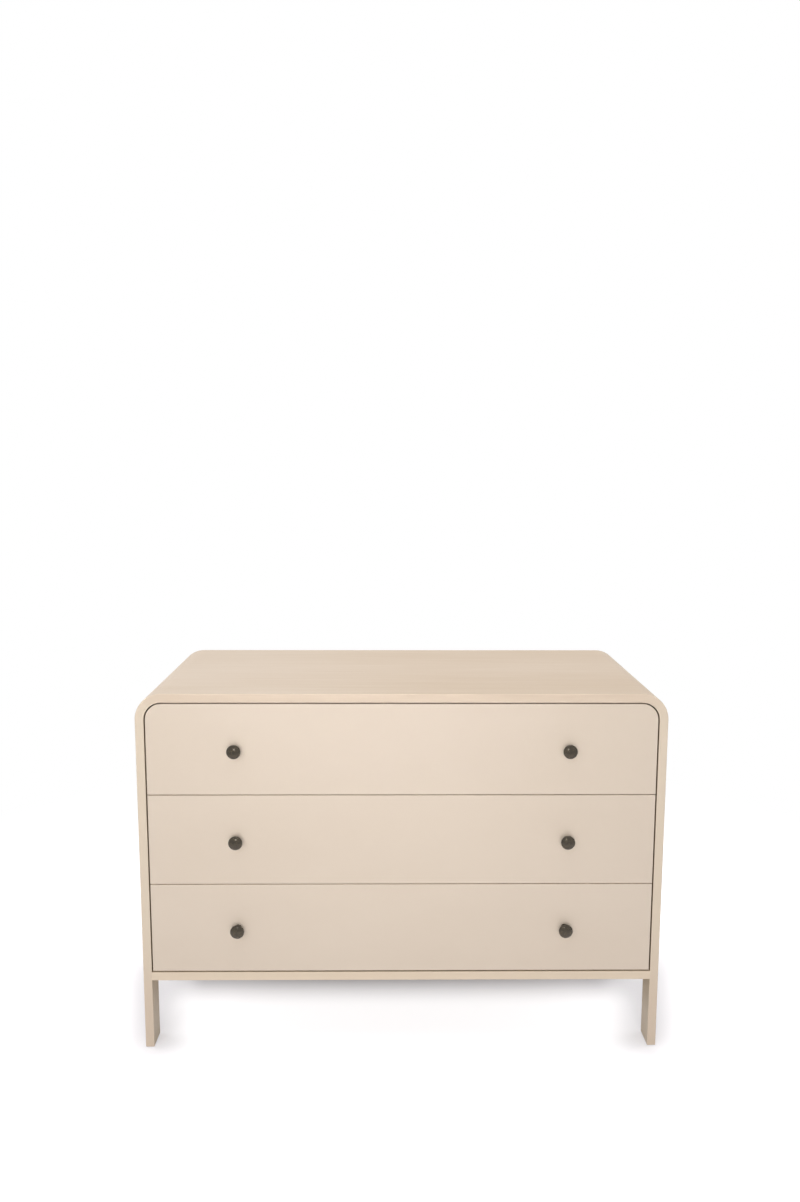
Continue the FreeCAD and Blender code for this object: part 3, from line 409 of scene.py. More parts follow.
def grow(piece, tree, **inputs):
    """Runs a tree on a piece and keeps the result as its plain mesh."""
    modifier = piece.modifiers.new("grow", "NODES")
    modifier.node_group = tree
    for item in tree.interface.items_tree:
        label = item.name.replace(" ", "_").lower()
        if item.in_out == "INPUT" and label in inputs:
            modifier[item.identifier] = inputs[label]
    bpy.context.view_layer.update()
    ready = piece.evaluated_get(bpy.context.evaluated_depsgraph_get())
    mesh = bpy.data.meshes.new_from_object(ready)
    piece.modifiers.clear()
    piece.data = mesh
    mesh.polygons.foreach_set("use_smooth", [True] * len(mesh.polygons))
    mesh.set_sharp_from_angle(angle=math.radians(SHARP_ANGLE))


def stand_for(piece, body, slot, *replaced):
    """Puts a finished piece on its body, in the place of its CAD nodes."""
    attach(piece, body)
    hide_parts(*replaced)


set_screws, given = new_geometry_tree("set_screws", {
    "Geometry": "Geometry", "Pattern": "Object", "Cross Length": "Float", "Cross Width": "Float",
    "Cross Depth": "Float", "Cross Level": "Float", "Seed": "Int",
})
pattern = add(set_screws, "GeometryNodeObjectInfo", {"Object": given["Pattern"]}).outputs["Geometry"]
blade_height = calculate(set_screws, "MULTIPLY", given["Cross Depth"], 2.0)
blade_size = add(set_screws, "ShaderNodeCombineXYZ", {
    "X": given["Cross Length"], "Y": given["Cross Width"], "Z": blade_height,
}).outputs[0]
blade = add(set_screws, "GeometryNodeMeshCube", {"Size": blade_size}).outputs["Mesh"]
raised = add(set_screws, "ShaderNodeCombineXYZ", {"X": 0.0, "Y": 0.0, "Z": given["Cross Level"]}).outputs[0]
first_blade = add(set_screws, "GeometryNodeTransform", {"Geometry": blade, "Translation": raised}).outputs[0]
second_blade = add(set_screws, "GeometryNodeTransform", {
    "Geometry": first_blade, "Rotation": (0, 0, math.pi / 2),
}).outputs[0]
recessed = pattern
for cutter in (first_blade, second_blade):
    recessed = add(set_screws, "GeometryNodeMeshBoolean", {"Mesh 1": recessed, "Mesh 2": cutter},
                   operation="DIFFERENCE").outputs["Mesh"]
way = add(set_screws, "GeometryNodeInputNamedAttribute", {"Name": "facing"},
          data_type="FLOAT_VECTOR").outputs["Attribute"]
faced = add(set_screws, "FunctionNodeAlignRotationToVector", {"Vector": way}, axis="Z").outputs[0]
angle = add(set_screws, "FunctionNodeRandomValue", {
    2: 0.0, 3: math.pi / 2, "Seed": given["Seed"],
}, data_type="FLOAT").outputs[1]
twist = add(set_screws, "FunctionNodeAxisAngleToRotation", {"Axis": (0, 0, 1), "Angle": angle}).outputs[0]
turned = add(set_screws, "FunctionNodeRotateRotation", {"Rotation": faced, "Rotate By": twist},
             rotation_space="LOCAL").outputs[0]
set_out = add(set_screws, "GeometryNodeInstanceOnPoints", {
    "Points": given["Geometry"], "Instance": recessed, "Rotation": turned,
}).outputs[0]
close_geometry_tree(set_screws, set_out, zinc_screw)


def screws(name, body, spots, shape, head_radius, level, replaced, seed):
    """Drives one kind of screw at each spot. The level is how far the head stands out, in mm."""
    pattern = lathed(f"{name}_pattern", shape, SCREW_SIDES)
    piece = spots_mesh(name, spots)
    grow(piece, set_screws, pattern=pattern, seed=seed,
         cross_length=head_radius * CROSS_LENGTH_SHARE * MM,
         cross_width=head_radius * CROSS_WIDTH_SHARE * MM,
         cross_depth=head_radius * CROSS_DEPTH_SHARE * MM,
         cross_level=level * MM)
    bpy.data.objects.remove(pattern)
    stand_for(piece, body, "zinc_screw", replaced)


def screw_shank(radius, length, tip):
    """Outline of a screw's blunt point and its tip, up to where its shank is straight."""
    return [(0, -length), (SCREW_POINT_RADIUS, SCREW_POINT_HEIGHT - length), (radius, tip - length)]


def round_head_screw(radius, length, head, height, tip):
    """Outline of a screw with a low round head that rests at height 0."""
    rim = height * SCREW_RIM_SHARE
    turns = [math.pi / 2 * step / SCREW_HEAD_STEPS for step in range(SCREW_HEAD_STEPS)]
    crown = [(head * math.cos(turn), rim + (height - rim) * math.sin(turn)) for turn in turns]
    return screw_shank(radius, length, tip) + [(radius, 0), (head, 0)] + crown + [(0, height)]


BACK_SCREW_HEAD = 3.5
BACK_SCREW_SHANK = 1.75
BACK_SCREW_LENGTH = 16
BACK_SCREW_SINK = 2
BACK_SCREW_RIM = 0.25
BACK_SCREW_EASE = 0.2
BACK_SCREW_INSET = 60
BACK_SCREW_SEED = 3
FLUSH = 0
SCREW_COLUMNS = 5
SCREW_ROWS = 3
sunk_screw = screw_shank(BACK_SCREW_SHANK, BACK_SCREW_LENGTH, SCREW_TIP) + [
    (BACK_SCREW_SHANK, -BACK_SCREW_SINK),
    (BACK_SCREW_HEAD, -BACK_SCREW_RIM),
    (BACK_SCREW_HEAD - BACK_SCREW_EASE, 0),
    (0, 0),
]
screw_low, screw_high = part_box("back_panel_screws")
rim_up = screw_high.z - BACK_SCREW_HEAD * MM
rim_down = screw_low.z + BACK_SCREW_HEAD * MM
rim_out = screw_high.x - BACK_SCREW_HEAD * MM
column_reach = BEND_X - BACK_SCREW_INSET * MM
row_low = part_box("bottom_panel")[1].z + BACK_SCREW_INSET * MM
row_high = BEND_Z - BACK_SCREW_INSET * MM
back_spots = []
for column in range(SCREW_COLUMNS):
    x = column_reach * (2 * column / (SCREW_COLUMNS - 1) - 1)
    back_spots += [((x, CASE_BACK, z), (0, 1, 0)) for z in (rim_up, rim_down)]
for row in range(SCREW_ROWS):
    z = row_low + (row_high - row_low) * row / (SCREW_ROWS - 1)
    back_spots += [((side * rim_out, CASE_BACK, z), (0, 1, 0)) for side in SIDES.values()]
screws("back_panel_screws_driven", "cabinet", back_spots, sunk_screw, BACK_SCREW_HEAD, FLUSH,
       "back_panel_screws", BACK_SCREW_SEED)

# Runners: three rolled steel members on each side of each drawer, bright zinc plated. The outer one is
# screwed to the case, the inner one to the drawer, and the middle one runs on balls between them.
STEEL = 1.2
ROLLED_RADIUS = 1.6
ROLLED_STEPS = 4
RUNNER_SCREW_HEAD = 3.5
RUNNER_SCREW_HEIGHT = 2
RUNNER_SCREW_SHANK = 1.75
RUNNER_SCREW_LENGTH = 12
RUNNER_SCREW_INSET = 35
CABINET_SCREW_SEED = 7
DRAWER_SCREW_SEED = 11
CAGE_LENGTH = 190
CAGE_WIDTH = 2.6
CAGE_HEIGHT = 2.4
CAGE_EASE = 0.3
CAGE_EASE_STEPS = 2
BALLS_IN_CAGE = 13
BALL_PITCH = CAGE_LENGTH / BALLS_IN_CAGE
BALL_SIDES = 8
BALL_RINGS = 6

# Rolling draws the steel out in fine lines, which bend the light across the run under the zinc.
ROLLED_LINES = [(90, 0.6, 0.6), (30, 5, 0.5)]
zinc_strip = figured_material("rolled_zinc_plated_steel", ROLLED_LINES, "#d2d3d2", "#b2b4b4",
                              gloss=(0.24, 0.4), depth=0.01, along=Y_AXIS, Metallic=1.0)
BALL_FILM = [(0.7, 0.7, 0.8)]
ball_steel = figured_material("polished_ball_steel", BALL_FILM, "#d9dad9", "#b9bab8",
                              gloss=(0.08, 0.16), Metallic=1.0)

roll_members, given = new_geometry_tree("roll_members", {
    "Geometry": "Geometry", "Length": "Float", "Bend Radius": "Float",
})
section = add(roll_members, "GeometryNodeMeshToCurve", {"Mesh": given["Geometry"]}).outputs[0]
bent = add(roll_members, "GeometryNodeFilletCurve", {
    "Curve": section, "Radius": given["Bend Radius"], "Count": ROLLED_STEPS,
}, mode="POLY").outputs[0]
edge = add(roll_members, "GeometryNodeCurveToMesh", {"Curve": bent}).outputs[0]
run = add(roll_members, "ShaderNodeCombineXYZ", {"X": 0.0, "Y": given["Length"], "Z": 0.0}).outputs[0]
strip = add(roll_members, "GeometryNodeExtrudeMesh", {"Mesh": edge, "Offset": run}, mode="EDGES").outputs[0]
close_geometry_tree(roll_members, strip, zinc_strip)

fill_cages, given = new_geometry_tree("fill_cages", {
    "Geometry": "Geometry", "Ball": "Object", "Count": "Int", "Pitch": "Float",
})
ball = add(fill_cages, "GeometryNodeObjectInfo", {"Object": given["Ball"]}).outputs["Geometry"]
step = add(fill_cages, "ShaderNodeCombineXYZ", {"X": 0.0, "Y": given["Pitch"], "Z": 0.0}).outputs[0]
line = add(fill_cages, "GeometryNodeMeshLine", {
    "Count": given["Count"], "Start Location": (0, 0, 0), "Offset": step,
}).outputs[0]
row_of_balls = add(fill_cages, "GeometryNodeInstanceOnPoints", {"Points": line, "Instance": ball}).outputs[0]
rows_of_balls = add(fill_cages, "GeometryNodeInstanceOnPoints", {
    "Points": given["Geometry"], "Instance": row_of_balls,
}).outputs[0]
close_geometry_tree(fill_cages, rows_of_balls, ball_steel)


def inner_and_outer_x(low, high, outward):
    """The X of a box's side towards the middle of the case, and of its outer side."""
    return (low.x, high.x) if outward > 0 else (high.x, low.x)


def rolled(name, body, members, web_side, replaced):
    """Rolled members of one kind, left and right. Each has its web on the outer or the inner side."""
    corners, edges = [], []
    half = STEEL * MM / 2
    for (low, high), outward in zip(members, SIDES.values()):
        inner_x, outer_x = inner_and_outer_x(low, high, outward)
        inner_x += outward * half
        outer_x -= outward * half
        web, tip = (outer_x, inner_x) if web_side == "out" else (inner_x, outer_x)
        tip += math.copysign(half, tip - web)
        start = len(corners)
        corners += [(tip, low.y, low.z + half), (web, low.y, low.z + half)]
        corners += [(web, low.y, high.z - half), (tip, low.y, high.z - half)]
        edges += [(start, start + 1), (start + 1, start + 2), (start + 2, start + 3)]
    mesh = bpy.data.meshes.new(name)
    mesh.from_pydata(corners, edges, [])
    piece = new_object(name, mesh)
    grow(piece, roll_members, length=members[0][1].y - members[0][0].y, bend_radius=ROLLED_RADIUS * MM)
    thick = piece.modifiers.new("steel", "SOLIDIFY")
    thick.thickness = STEEL * MM
    thick.offset = 0
    stand_for(piece, body, "zinc_steel", *replaced)


def cages_mesh(name, strips):
    """Straight strips along Y that hold the balls. Each is given by the middle of its first end."""
    corners, faces = [], []
    for x, y, z in strips:
        start = len(corners)
        for end in (y, y + CAGE_LENGTH * MM):
            for across, up in ((-1, -1), (1, -1), (1, 1), (-1, 1)):
                corners.append((x + across * CAGE_WIDTH * MM / 2, end, z + up * CAGE_HEIGHT * MM / 2))
        faces += [(start, start + 1, start + 2, start + 3), (start + 7, start + 6, start + 5, start + 4)]
        for corner in range(4):
            after = (corner + 1) % 4
            faces.append((start + corner, start + corner + 4, start + after + 4, start + after))
    mesh = bpy.data.meshes.new(name)
    mesh.from_pydata(corners, [], faces)
    mesh.materials.append(zinc_strip)
    return mesh


def screws_along(low, high, seat, way):
    """Spots for three screws in the web of a member, near its ends and in its middle."""
    ends = (low.y + RUNNER_SCREW_INSET * MM, high.y - RUNNER_SCREW_INSET * MM)
    return [((seat, y, (low.z + high.z) / 2), (way, 0, 0)) for y in (ends[0], sum(ends) / 2, ends[1])]


runner_screw = round_head_screw(
    RUNNER_SCREW_SHANK, RUNNER_SCREW_LENGTH, RUNNER_SCREW_HEAD, RUNNER_SCREW_HEIGHT, SCREW_TIP)
cabinet_spots = []
for row, name in enumerate(DRAWERS):
    member_nodes = {
        kind: [f"runner_{name}_{side}_{kind}" for side in SIDES] for kind in ("outer", "middle", "inner")
    }
    outer, middle, inner = [[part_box(node) for node in named] for named in member_nodes.values()]
    middle_body = f"middle_members_{name}"
    rolled(f"runner_{name}_outer_members", "cabinet", outer, "out", member_nodes["outer"])
    rolled(f"runner_{name}_inner_members", f"drawer_{name}", inner, "in", member_nodes["inner"])
    rolled(f"runner_{name}_middle_members", middle_body, middle, "out", member_nodes["middle"])

    strips = []
    for (low, high), (_, out_high), (_, in_high), outward in zip(middle, outer, inner, SIDES.values()):
        inner_x, outer_x = inner_and_outer_x(low, high, outward)
        x = (inner_x + outer_x - outward * STEEL * MM) / 2
        centre = (low.z + high.z) / 2
        races = (
            (high.y - CAGE_LENGTH * MM, (high.z + out_high.z - STEEL * MM) / 2),
            (low.y, (in_high.z + high.z - STEEL * MM) / 2),
        )
        for y, race in races:
            strips += [(x, y, race), (x, y, 2 * centre - race)]
    cages = new_object(f"ball_cages_{name}", cages_mesh(f"ball_cages_{name}", strips))
    eased = cages.modifiers.new("eased", "BEVEL")
    eased.width = CAGE_EASE * MM
    eased.segments = CAGE_EASE_STEPS
    stand_for(cages, middle_body, "zinc_steel", *member_nodes["middle"])

    ball = lathed("ball_pattern", arc(0, 0, CAGE_HEIGHT / 2 + CAGE_EASE, -90, 90, BALL_RINGS), BALL_SIDES)
    first_balls = [((x, y + BALL_PITCH / 2 * MM, z), (0, 1, 0)) for x, y, z in strips]
    balls = spots_mesh(f"runner_balls_{name}", first_balls)
    grow(balls, fill_cages, ball=ball, count=BALLS_IN_CAGE, pitch=BALL_PITCH * MM)
    bpy.data.objects.remove(ball)
    stand_for(balls, middle_body, "zinc_steel", *member_nodes["middle"])

    drawer_spots = []
    for outer_box, inner_box, outward in zip(outer, inner, SIDES.values()):
        seat = inner_and_outer_x(*outer_box, outward)[1] - outward * STEEL * MM
        cabinet_spots += screws_along(*outer_box, seat, -outward)
        seat = inner_and_outer_x(*inner_box, outward)[0] + outward * STEEL * MM
        drawer_spots += screws_along(*inner_box, seat, outward)
    screws(f"drawer_{name}_runner_screws_driven", f"drawer_{name}", drawer_spots, runner_screw,
           RUNNER_SCREW_HEAD, RUNNER_SCREW_HEIGHT, f"drawer_{name}_runner_screws", DRAWER_SCREW_SEED + row)
screws("cabinet_runner_screws_driven", "cabinet", cabinet_spots, runner_screw,
       RUNNER_SCREW_HEAD, RUNNER_SCREW_HEIGHT, "cabinet_runner_screws", CABINET_SCREW_SEED)

# Drawer fronts: boards sprayed with beige satin lacquer, sanded between coats, with eased edges.
# The spray leaves a faint orange peel and slow changes of tone, and the upper corners follow the bends.
ORANGE_PEEL = [(1.6, 1.6, 1.0)]
PEEL_DEPTH = 0.012
LACQUER_TONE = [(520, 260, 0.8), (60, 45, 0.25)]
LACQUER_SMOOTH = 0.4
LACQUER_ROUGH = 0.48
lacquer, tree, shader, coordinates = start_material("beige_satin_lacquer", IOR=CLEAR_LACQUER_IOR)
tone = figure(tree, coordinates["Object"], X_AXIS, LACQUER_TONE)
tree.links.new(between(tree, tone, "#e6d7c5", "#decebb"), shader.inputs["Base Color"])
peel = figure(tree, coordinates["Object"], X_AXIS, ORANGE_PEEL)
sheen(tree, shader, peel, LACQUER_SMOOTH, LACQUER_ROUGH)
relief(tree, shader, peel, PEEL_DEPTH)
for name in DRAWERS:
    nodes[f"drawer_{name}_front"].material_slots[0].material = lacquer

# Drawer boxes: birch plywood sides let into the front, a back let into the sides, and a thin bottom in a
# groove. The cut edges are left clear lacquered, so the glued sheets show along their tops.
BOX_SHEET = 1.4
ply_sides = birch_ply("birch_plywood_sides", Y_AXIS, X_AXIS, BOX_SHEET, "#e8d6b4", "#d8bf93", "#ad8a5c")
ply_back = birch_ply("birch_plywood_box_back", X_AXIS, Y_AXIS, BOX_SHEET, "#e8d6b4", "#d8bf93", "#ad8a5c")
ply_bottom = birch_ply("birch_plywood_bottom", X_AXIS, Z_AXIS, BOX_SHEET, "#e4d1ae", "#d3ba8e", "#ad8a5c")
for name in DRAWERS:
    for side in SIDES:
        nodes[f"drawer_{name}_side_{side}"].material_slots[0].material = ply_sides
    nodes[f"drawer_{name}_back"].material_slots[0].material = ply_back
    nodes[f"drawer_{name}_bottom"].material_slots[0].material = ply_bottom

# Knobs: turned in one piece from bronze bar, with a low domed head on a short neck that flares out at
# its foot, then darkened. The tool leaves fine rings on the dome, where the patina stays darker, and wax
# gives a small highlight. The foot, neck and rim get the rings' darkening too, which paints shade round
# the rim of the head. Stem, foot and head are radii in mm.
KNOB_FOOT = 8.6
KNOB_FOOT_EDGE = 0.8
KNOB_STEM = 6
KNOB_NECK = 3
KNOB_HEAD = 16
KNOB_PROJECTION = 25
KNOB_HEAD_THICKNESS = 9
KNOB_DOME = 4.5
KNOB_RIM = 1.8
KNOB_SIDES = 72
BEND_STEPS = 5
RIM_STEPS = 6
RING_PITCH = 1.9
RING_DEPTH = 0.015
RING_STEPS = 6
# The foot, neck and rim are darkened as much as a ring's hollow: painted shade round the rim of the head.
PAINTED_RIM_SHADE = 0.8
underside = KNOB_PROJECTION - KNOB_HEAD_THICKNESS
flare = KNOB_FOOT - KNOB_STEM
dome_radius = (KNOB_HEAD ** 2 + KNOB_DOME ** 2) / (2 * KNOB_DOME)
dome_centre = KNOB_PROJECTION - dome_radius
rim_across = KNOB_HEAD - KNOB_RIM
rim_up = dome_centre + math.sqrt((dome_radius - KNOB_RIM) ** 2 - rim_across ** 2)
rim_end = math.degrees(math.atan2(rim_up - dome_centre, rim_across))
knob_outline = [(0, 0), (KNOB_FOOT, 0)]
knob_outline += arc(KNOB_FOOT, KNOB_FOOT_EDGE + flare, flare, -90, -180, BEND_STEPS)
knob_outline += arc(KNOB_STEM + KNOB_NECK, underside - KNOB_NECK, KNOB_NECK, 180, 90, BEND_STEPS)
knob_outline += arc(rim_across, underside + KNOB_RIM, KNOB_RIM, -90, 0, BEND_STEPS)
knob_outline += arc(rim_across, rim_up, KNOB_RIM, 0, rim_end, RIM_STEPS)
hollows_and_rim_shade = [PAINTED_RIM_SHADE] * (len(knob_outline) - 1)
dome_edge = knob_outline[-1][0]
ring_count = round(dome_edge / RING_PITCH)
pitch = dome_edge / ring_count
for step in range(ring_count * RING_STEPS - 1, 0, -1):
    radius = pitch * step / RING_STEPS
    hollow_and_rim_shade = 0.5 - 0.5 * math.cos(math.tau * radius / pitch)
    crest = dome_centre + math.sqrt(dome_radius ** 2 - radius ** 2)
    knob_outline.append((radius, crest - RING_DEPTH * hollow_and_rim_shade))
    hollows_and_rim_shade.append(hollow_and_rim_shade)
knob_outline.append((0, KNOB_PROJECTION))

PATINA = [(9, 9, 0.8), (1.4, 1.4, 0.5)]
HOLLOW_AND_RIM_SPAN = (0.2, 1.0)
PATINA_AND_RIM_SHADE = 0.45
BRONZE_SMOOTH = 0.2
BRONZE_ROUGH = 0.3
bronze, tree, shader, coordinates = start_material(
    "darkened_bronze", Metallic=0.85, Coat_Weight=0.65, Coat_Roughness=0.05)
patches = figure(tree, coordinates["Object"], X_AXIS, PATINA)
worn = between(tree, ramp(tree, patches, *NARROW_SPAN), "#3c3325", "#4b4130")
# The attribute darkens the rings' hollows with patina, and the rim with painted shade.
hollow_and_rim_shade = add(tree, "ShaderNodeAttribute", attribute_name="hollow_and_rim_shade").outputs["Fac"]
darkened = between(tree, ramp(tree, hollow_and_rim_shade, *HOLLOW_AND_RIM_SPAN, 0.0, PATINA_AND_RIM_SHADE), worn, "#2a261e")
tree.links.new(darkened, shader.inputs["Base Color"])
sheen(tree, shader, patches, BRONZE_SMOOTH, BRONZE_ROUGH)

set_knobs, given = new_geometry_tree("set_knobs", {
    "Geometry": "Geometry", "Knob": "Object", "Spacing": "Float",
})
knob = add(set_knobs, "GeometryNodeObjectInfo", {"Object": given["Knob"]}).outputs["Geometry"]
apart = add(set_knobs, "ShaderNodeCombineXYZ", {"X": given["Spacing"], "Y": 0.0, "Z": 0.0}).outputs[0]
half_back = add(set_knobs, "ShaderNodeVectorMath", {0: apart, "Scale": -0.5}, operation="SCALE").outputs[0]
pair = add(set_knobs, "GeometryNodeMeshLine", {
    "Count": 2, "Start Location": half_back, "Offset": apart,
}).outputs[0]
pairs = add(set_knobs, "GeometryNodeInstanceOnPoints", {
    "Points": pair, "Instance": knob, "Rotation": (math.pi / 2, 0, 0),
}).outputs[0]
placed = add(set_knobs, "GeometryNodeInstanceOnPoints", {
    "Points": given["Geometry"], "Instance": pairs,
}).outputs[0]
close_geometry_tree(set_knobs, placed, bronze)

KNOB_SCREW_HEAD = 4
KNOB_SCREW_HEIGHT = 2.5
KNOB_SCREW_SHANK = 2
KNOB_SCREW_LENGTH = 28
KNOB_SCREW_TIP = 1
KNOB_SCREW_SEED = 21
knob_screw = round_head_screw(
    KNOB_SCREW_SHANK, KNOB_SCREW_LENGTH, KNOB_SCREW_HEAD, KNOB_SCREW_HEIGHT, KNOB_SCREW_TIP)
for row, name in enumerate(DRAWERS):
    front_low, front_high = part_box(f"drawer_{name}_front")
    left_low, left_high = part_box(f"drawer_{name}_knob_left")
    right_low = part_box(f"drawer_{name}_knob_right")[0]
    level = (left_low.z + left_high.z) / 2
    spacing = right_low.x - left_low.x
    pattern = lathed("knob_pattern", knob_outline, KNOB_SIDES, hollows_and_rim_shade)
    knobs = spots_mesh(f"drawer_{name}_knobs", [((0, front_low.y, level), (0, -1, 0))])
    grow(knobs, set_knobs, knob=pattern, spacing=spacing)
    bpy.data.objects.remove(pattern)
    stand_for(knobs, f"drawer_{name}", "knob_bronze",
              f"drawer_{name}_knob_left", f"drawer_{name}_knob_right")
    screw_spots = [((side * spacing / 2, front_high.y, level), (0, 1, 0)) for side in SIDES.values()]
    screws(f"drawer_{name}_knob_screws_driven", f"drawer_{name}", screw_spots, knob_screw,
           KNOB_SCREW_HEAD, KNOB_SCREW_HEIGHT, f"drawer_{name}_knob_screws", KNOB_SCREW_SEED + row)

# Studio: plain white paper on the floor and white all round. Soft lamps stand at the left, in front,
# above, behind and at both sides, and a small gridded strip gives the upper knobs their highlight. The
# paper is lifted to white for the camera, less in painted shadow shapes under the case and beside the
# legs, where the paper's own shade shows.
FLOOR_HALF = 30.0
WHITE_NEAR = 0.9
WHITE_FAR = 2.0
# Lifts are emission strengths, of which 1 is white.
PAPER_LIFT = 0.775
LIFT_LOST_IN_SHADOW = 0.84
LIFT_LOST_AT_LEGS = 0.35
# Where the painted shadows begin, end and fade, in metres. Those of the legs spread apart towards the back.
SHADOW_FRONT = -0.075
SHADOW_SOFTNESS = 0.195
SIDE_SOFTNESS = 0.14
LEG_SHADE = 0.11
LEG_SHADE_SPREAD = 0.26
LEG_SHADE_FRONT = -0.34
LEG_SHADE_FULL = -0.2
LEG_SHADE_FADES = 0.05
LEG_SHADE_ENDS = 0.3
LEG_INNER_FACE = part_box("side_panel_right")[0].x
WORLD_LEVEL = 0.22


def seen_directly(tree):
    """One for camera, glossy and transmission rays, which see the white background."""
    rays = add(tree, "ShaderNodeLightPath").outputs
    seen = calculate(tree, "MAXIMUM", rays["Is Camera Ray"], rays["Is Glossy Ray"])
    return calculate(tree, "MAXIMUM", seen, rays["Is Transmission Ray"])


paper = bpy.data.materials.new("white_studio_paper")
paper.use_nodes = True
tree = paper.node_tree
tree.nodes.clear()
diffuse = add(tree, "ShaderNodeBsdfDiffuse", {"Color": linear("#c1bec3")}).outputs[0]
spot = add(tree, "ShaderNodeTexCoord").outputs["Object"]
parts = add(tree, "ShaderNodeSeparateXYZ", {"Vector": spot}).outputs
across = calculate(tree, "ABSOLUTE", parts["X"])
behind = calculate(tree, "SUBTRACT", parts["Y"], CASE_FRONT)
shade_line = calculate(tree, "MULTIPLY_ADD", behind, LEG_SHADE_SPREAD, LEG_INNER_FACE)
from_leg = calculate(tree, "ABSOLUTE", calculate(tree, "SUBTRACT", across, shade_line))
seen = seen_directly(tree)
shades = (
    (LIFT_LOST_IN_SHADOW, (
        (parts["Y"], SHADOW_FRONT, SHADOW_FRONT + SHADOW_SOFTNESS),
        (parts["Y"], CASE_BACK + SIDE_SOFTNESS / 2, CASE_BACK - SIDE_SOFTNESS / 2),
        (across, LEG_INNER_FACE + SIDE_SOFTNESS / 2, LEG_INNER_FACE - SIDE_SOFTNESS / 2),
    )),
    (LIFT_LOST_AT_LEGS, (
        (parts["Y"], LEG_SHADE_FRONT, LEG_SHADE_FULL),
        (parts["Y"], LEG_SHADE_ENDS, LEG_SHADE_FADES),
        (from_leg, LEG_SHADE, 0.0),
    )),
)
lift = PAPER_LIFT
for lost, edges in shades:
    shade = -lost
    for value, low, high in edges:
        shade = calculate(tree, "MULTIPLY", shade, ramp(tree, value, low, high))
    lift = calculate(tree, "ADD", lift, shade)
lift = calculate(tree, "MULTIPLY", seen, calculate(tree, "MAXIMUM", lift, 0.0))
glow = add(tree, "ShaderNodeEmission", {"Color": linear("#ffffff"), "Strength": lift}).outputs[0]
near = add(tree, "ShaderNodeAddShader", {0: diffuse, 1: glow}).outputs[0]
white = add(tree, "ShaderNodeEmission", {"Color": linear("#ffffff"), "Strength": 1.0}).outputs[0]
away = add(tree, "ShaderNodeVectorMath", {0: spot}, operation="LENGTH").outputs["Value"]
fade = calculate(tree, "MULTIPLY", ramp(tree, away, WHITE_NEAR, WHITE_FAR), seen)
blend = add(tree, "ShaderNodeMixShader", {0: fade, 1: near, 2: white}).outputs[0]
add(tree, "ShaderNodeOutputMaterial", {"Surface": blend})

floor_mesh = bpy.data.meshes.new("studio_floor")
floor_mesh.from_pydata([(-FLOOR_HALF, -FLOOR_HALF, 0), (FLOOR_HALF, -FLOOR_HALF, 0),
                        (FLOOR_HALF, FLOOR_HALF, 0), (-FLOOR_HALF, FLOOR_HALF, 0)], [], [(0, 1, 2, 3)])
floor_mesh.materials.append(paper)
floor = new_object("studio_floor", floor_mesh)

world = bpy.data.worlds.new("white_studio")
bpy.context.scene.world = world
world.use_nodes = True
tree = world.node_tree
tree.nodes.clear()
level = ramp(tree, seen_directly(tree), 0.0, 1.0, WORLD_LEVEL, 1.0)
surround = add(tree, "ShaderNodeBackground", {"Color": linear("#ffffff"), "Strength": level}).outputs[0]
add(tree, "ShaderNodeOutputWorld", {"Surface": surround})

# Places and sizes of the lamps are in metres, and their powers were fitted to the tones in the
# photograph. A grid in front of the strip narrows its light, so it reaches the upper knobs.
MIDDLE = (0.0, 0.0, 0.5)
UPPER_FRONT = (-0.1, -0.25, 1.0)
SOFT_SIZE = (1.6, 1.6)
SIDE_SIZE = (2.0, 2.0)
BEHIND_SIZE = (2.4, 2.4)
STRIP_SIZE = (0.6, 0.35)
STRIP_SPREAD = 28
OPEN_SPREAD = 180


def add_lamp(name, place, size, watts, faced=MIDDLE, spread=OPEN_SPREAD, in_gloss=False):
    """A soft rectangular lamp, turned to the spot that it faces. Its light spreads over an angle in
    degrees, and reflections show the lamp only where it is in the gloss."""
    light = bpy.data.lights.new(name, "AREA")
    light.shape = "RECTANGLE"
    light.size, light.size_y = size
    light.energy = watts
    light.spread = math.radians(spread)
    lamp = new_object(name, light)
    lamp.location = place
    lamp.rotation_euler = (Vector(faced) - Vector(place)).to_track_quat("-Z", "Y").to_euler()
    lamp.visible_camera = False
    lamp.visible_glossy = in_gloss


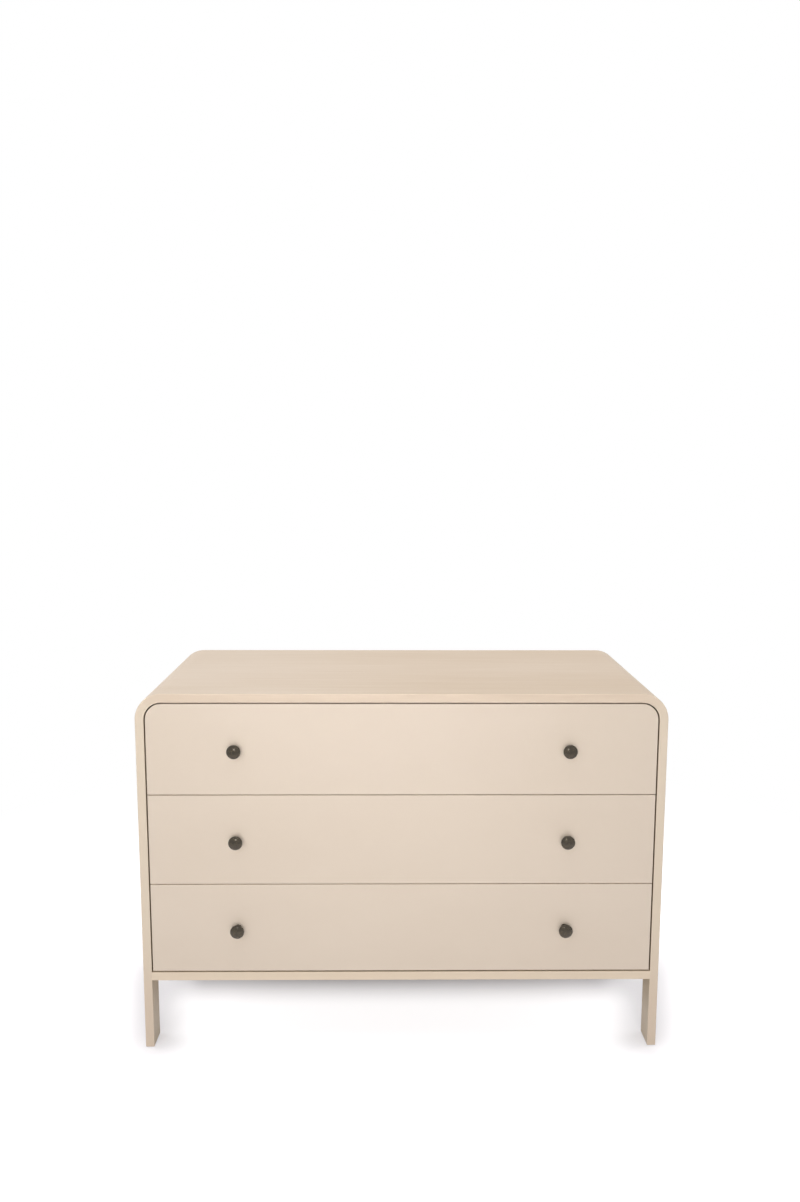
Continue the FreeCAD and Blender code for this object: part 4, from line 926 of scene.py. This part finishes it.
add_lamp("soft_left", (-1.9, -3.3, 2.6), SOFT_SIZE, watts=21)
add_lamp("soft_front", (0.0, -3.2, 1.3), SOFT_SIZE, watts=46.5)
add_lamp("soft_above", (-0.15, -0.6, 3.2), SOFT_SIZE, watts=20, in_gloss=True)
add_lamp("soft_behind", (0.3, 3.6, 2.3), BEHIND_SIZE, watts=62)
add_lamp("left_fill", (-3.4, 0.5, 1.9), SIDE_SIZE, watts=40)
add_lamp("right_fill", (3.4, 0.5, 1.9), SIDE_SIZE, watts=36)
add_lamp("gridded_strip", (-0.4, -3.6, 1.4), STRIP_SIZE, watts=0.48,
         faced=UPPER_FRONT, spread=STRIP_SPREAD, in_gloss=True)

# Camera: stands in front and looks slightly down, as fitted to the corners of the case in the photograph.
# The focal length is in pixels of the 800 by 1202 frame, and the optical axis lies above its middle. The
# place is in mm, and the angles are in radians.
IMAGE_HEIGHT_PX = 1202
FOCAL_PX = 946.2
AXIS_UP_PX = 588.2
SENSOR_MM = 36
CAMERA_PLACE = (-26.29, -2304.5, 1363)
CAMERA_PITCH = 0.1319
CAMERA_YAW = 0.009889
CAMERA_ROLL = 0.002565
ahead = Vector((
    math.sin(CAMERA_YAW) * math.cos(CAMERA_PITCH),
    math.cos(CAMERA_YAW) * math.cos(CAMERA_PITCH),
    -math.sin(CAMERA_PITCH),
))
level_right = Vector((math.cos(CAMERA_YAW), -math.sin(CAMERA_YAW), 0))
level_up = level_right.cross(ahead)
right = math.cos(CAMERA_ROLL) * level_right + math.sin(CAMERA_ROLL) * level_up
up = -math.sin(CAMERA_ROLL) * level_right + math.cos(CAMERA_ROLL) * level_up
camera_data = bpy.data.cameras.new("camera")
camera_data.sensor_width = SENSOR_MM
camera_data.lens = FOCAL_PX * SENSOR_MM / IMAGE_HEIGHT_PX
camera_data.shift_y = (AXIS_UP_PX - IMAGE_HEIGHT_PX / 2) / IMAGE_HEIGHT_PX
camera = new_object("camera", camera_data)
turned = Matrix((right, up, -ahead)).transposed().to_4x4()
camera.matrix_world = Matrix.Translation(Vector(CAMERA_PLACE) * MM) @ turned
bpy.context.scene.camera = camera
bpy.context.scene.view_settings.view_transform = "Standard"
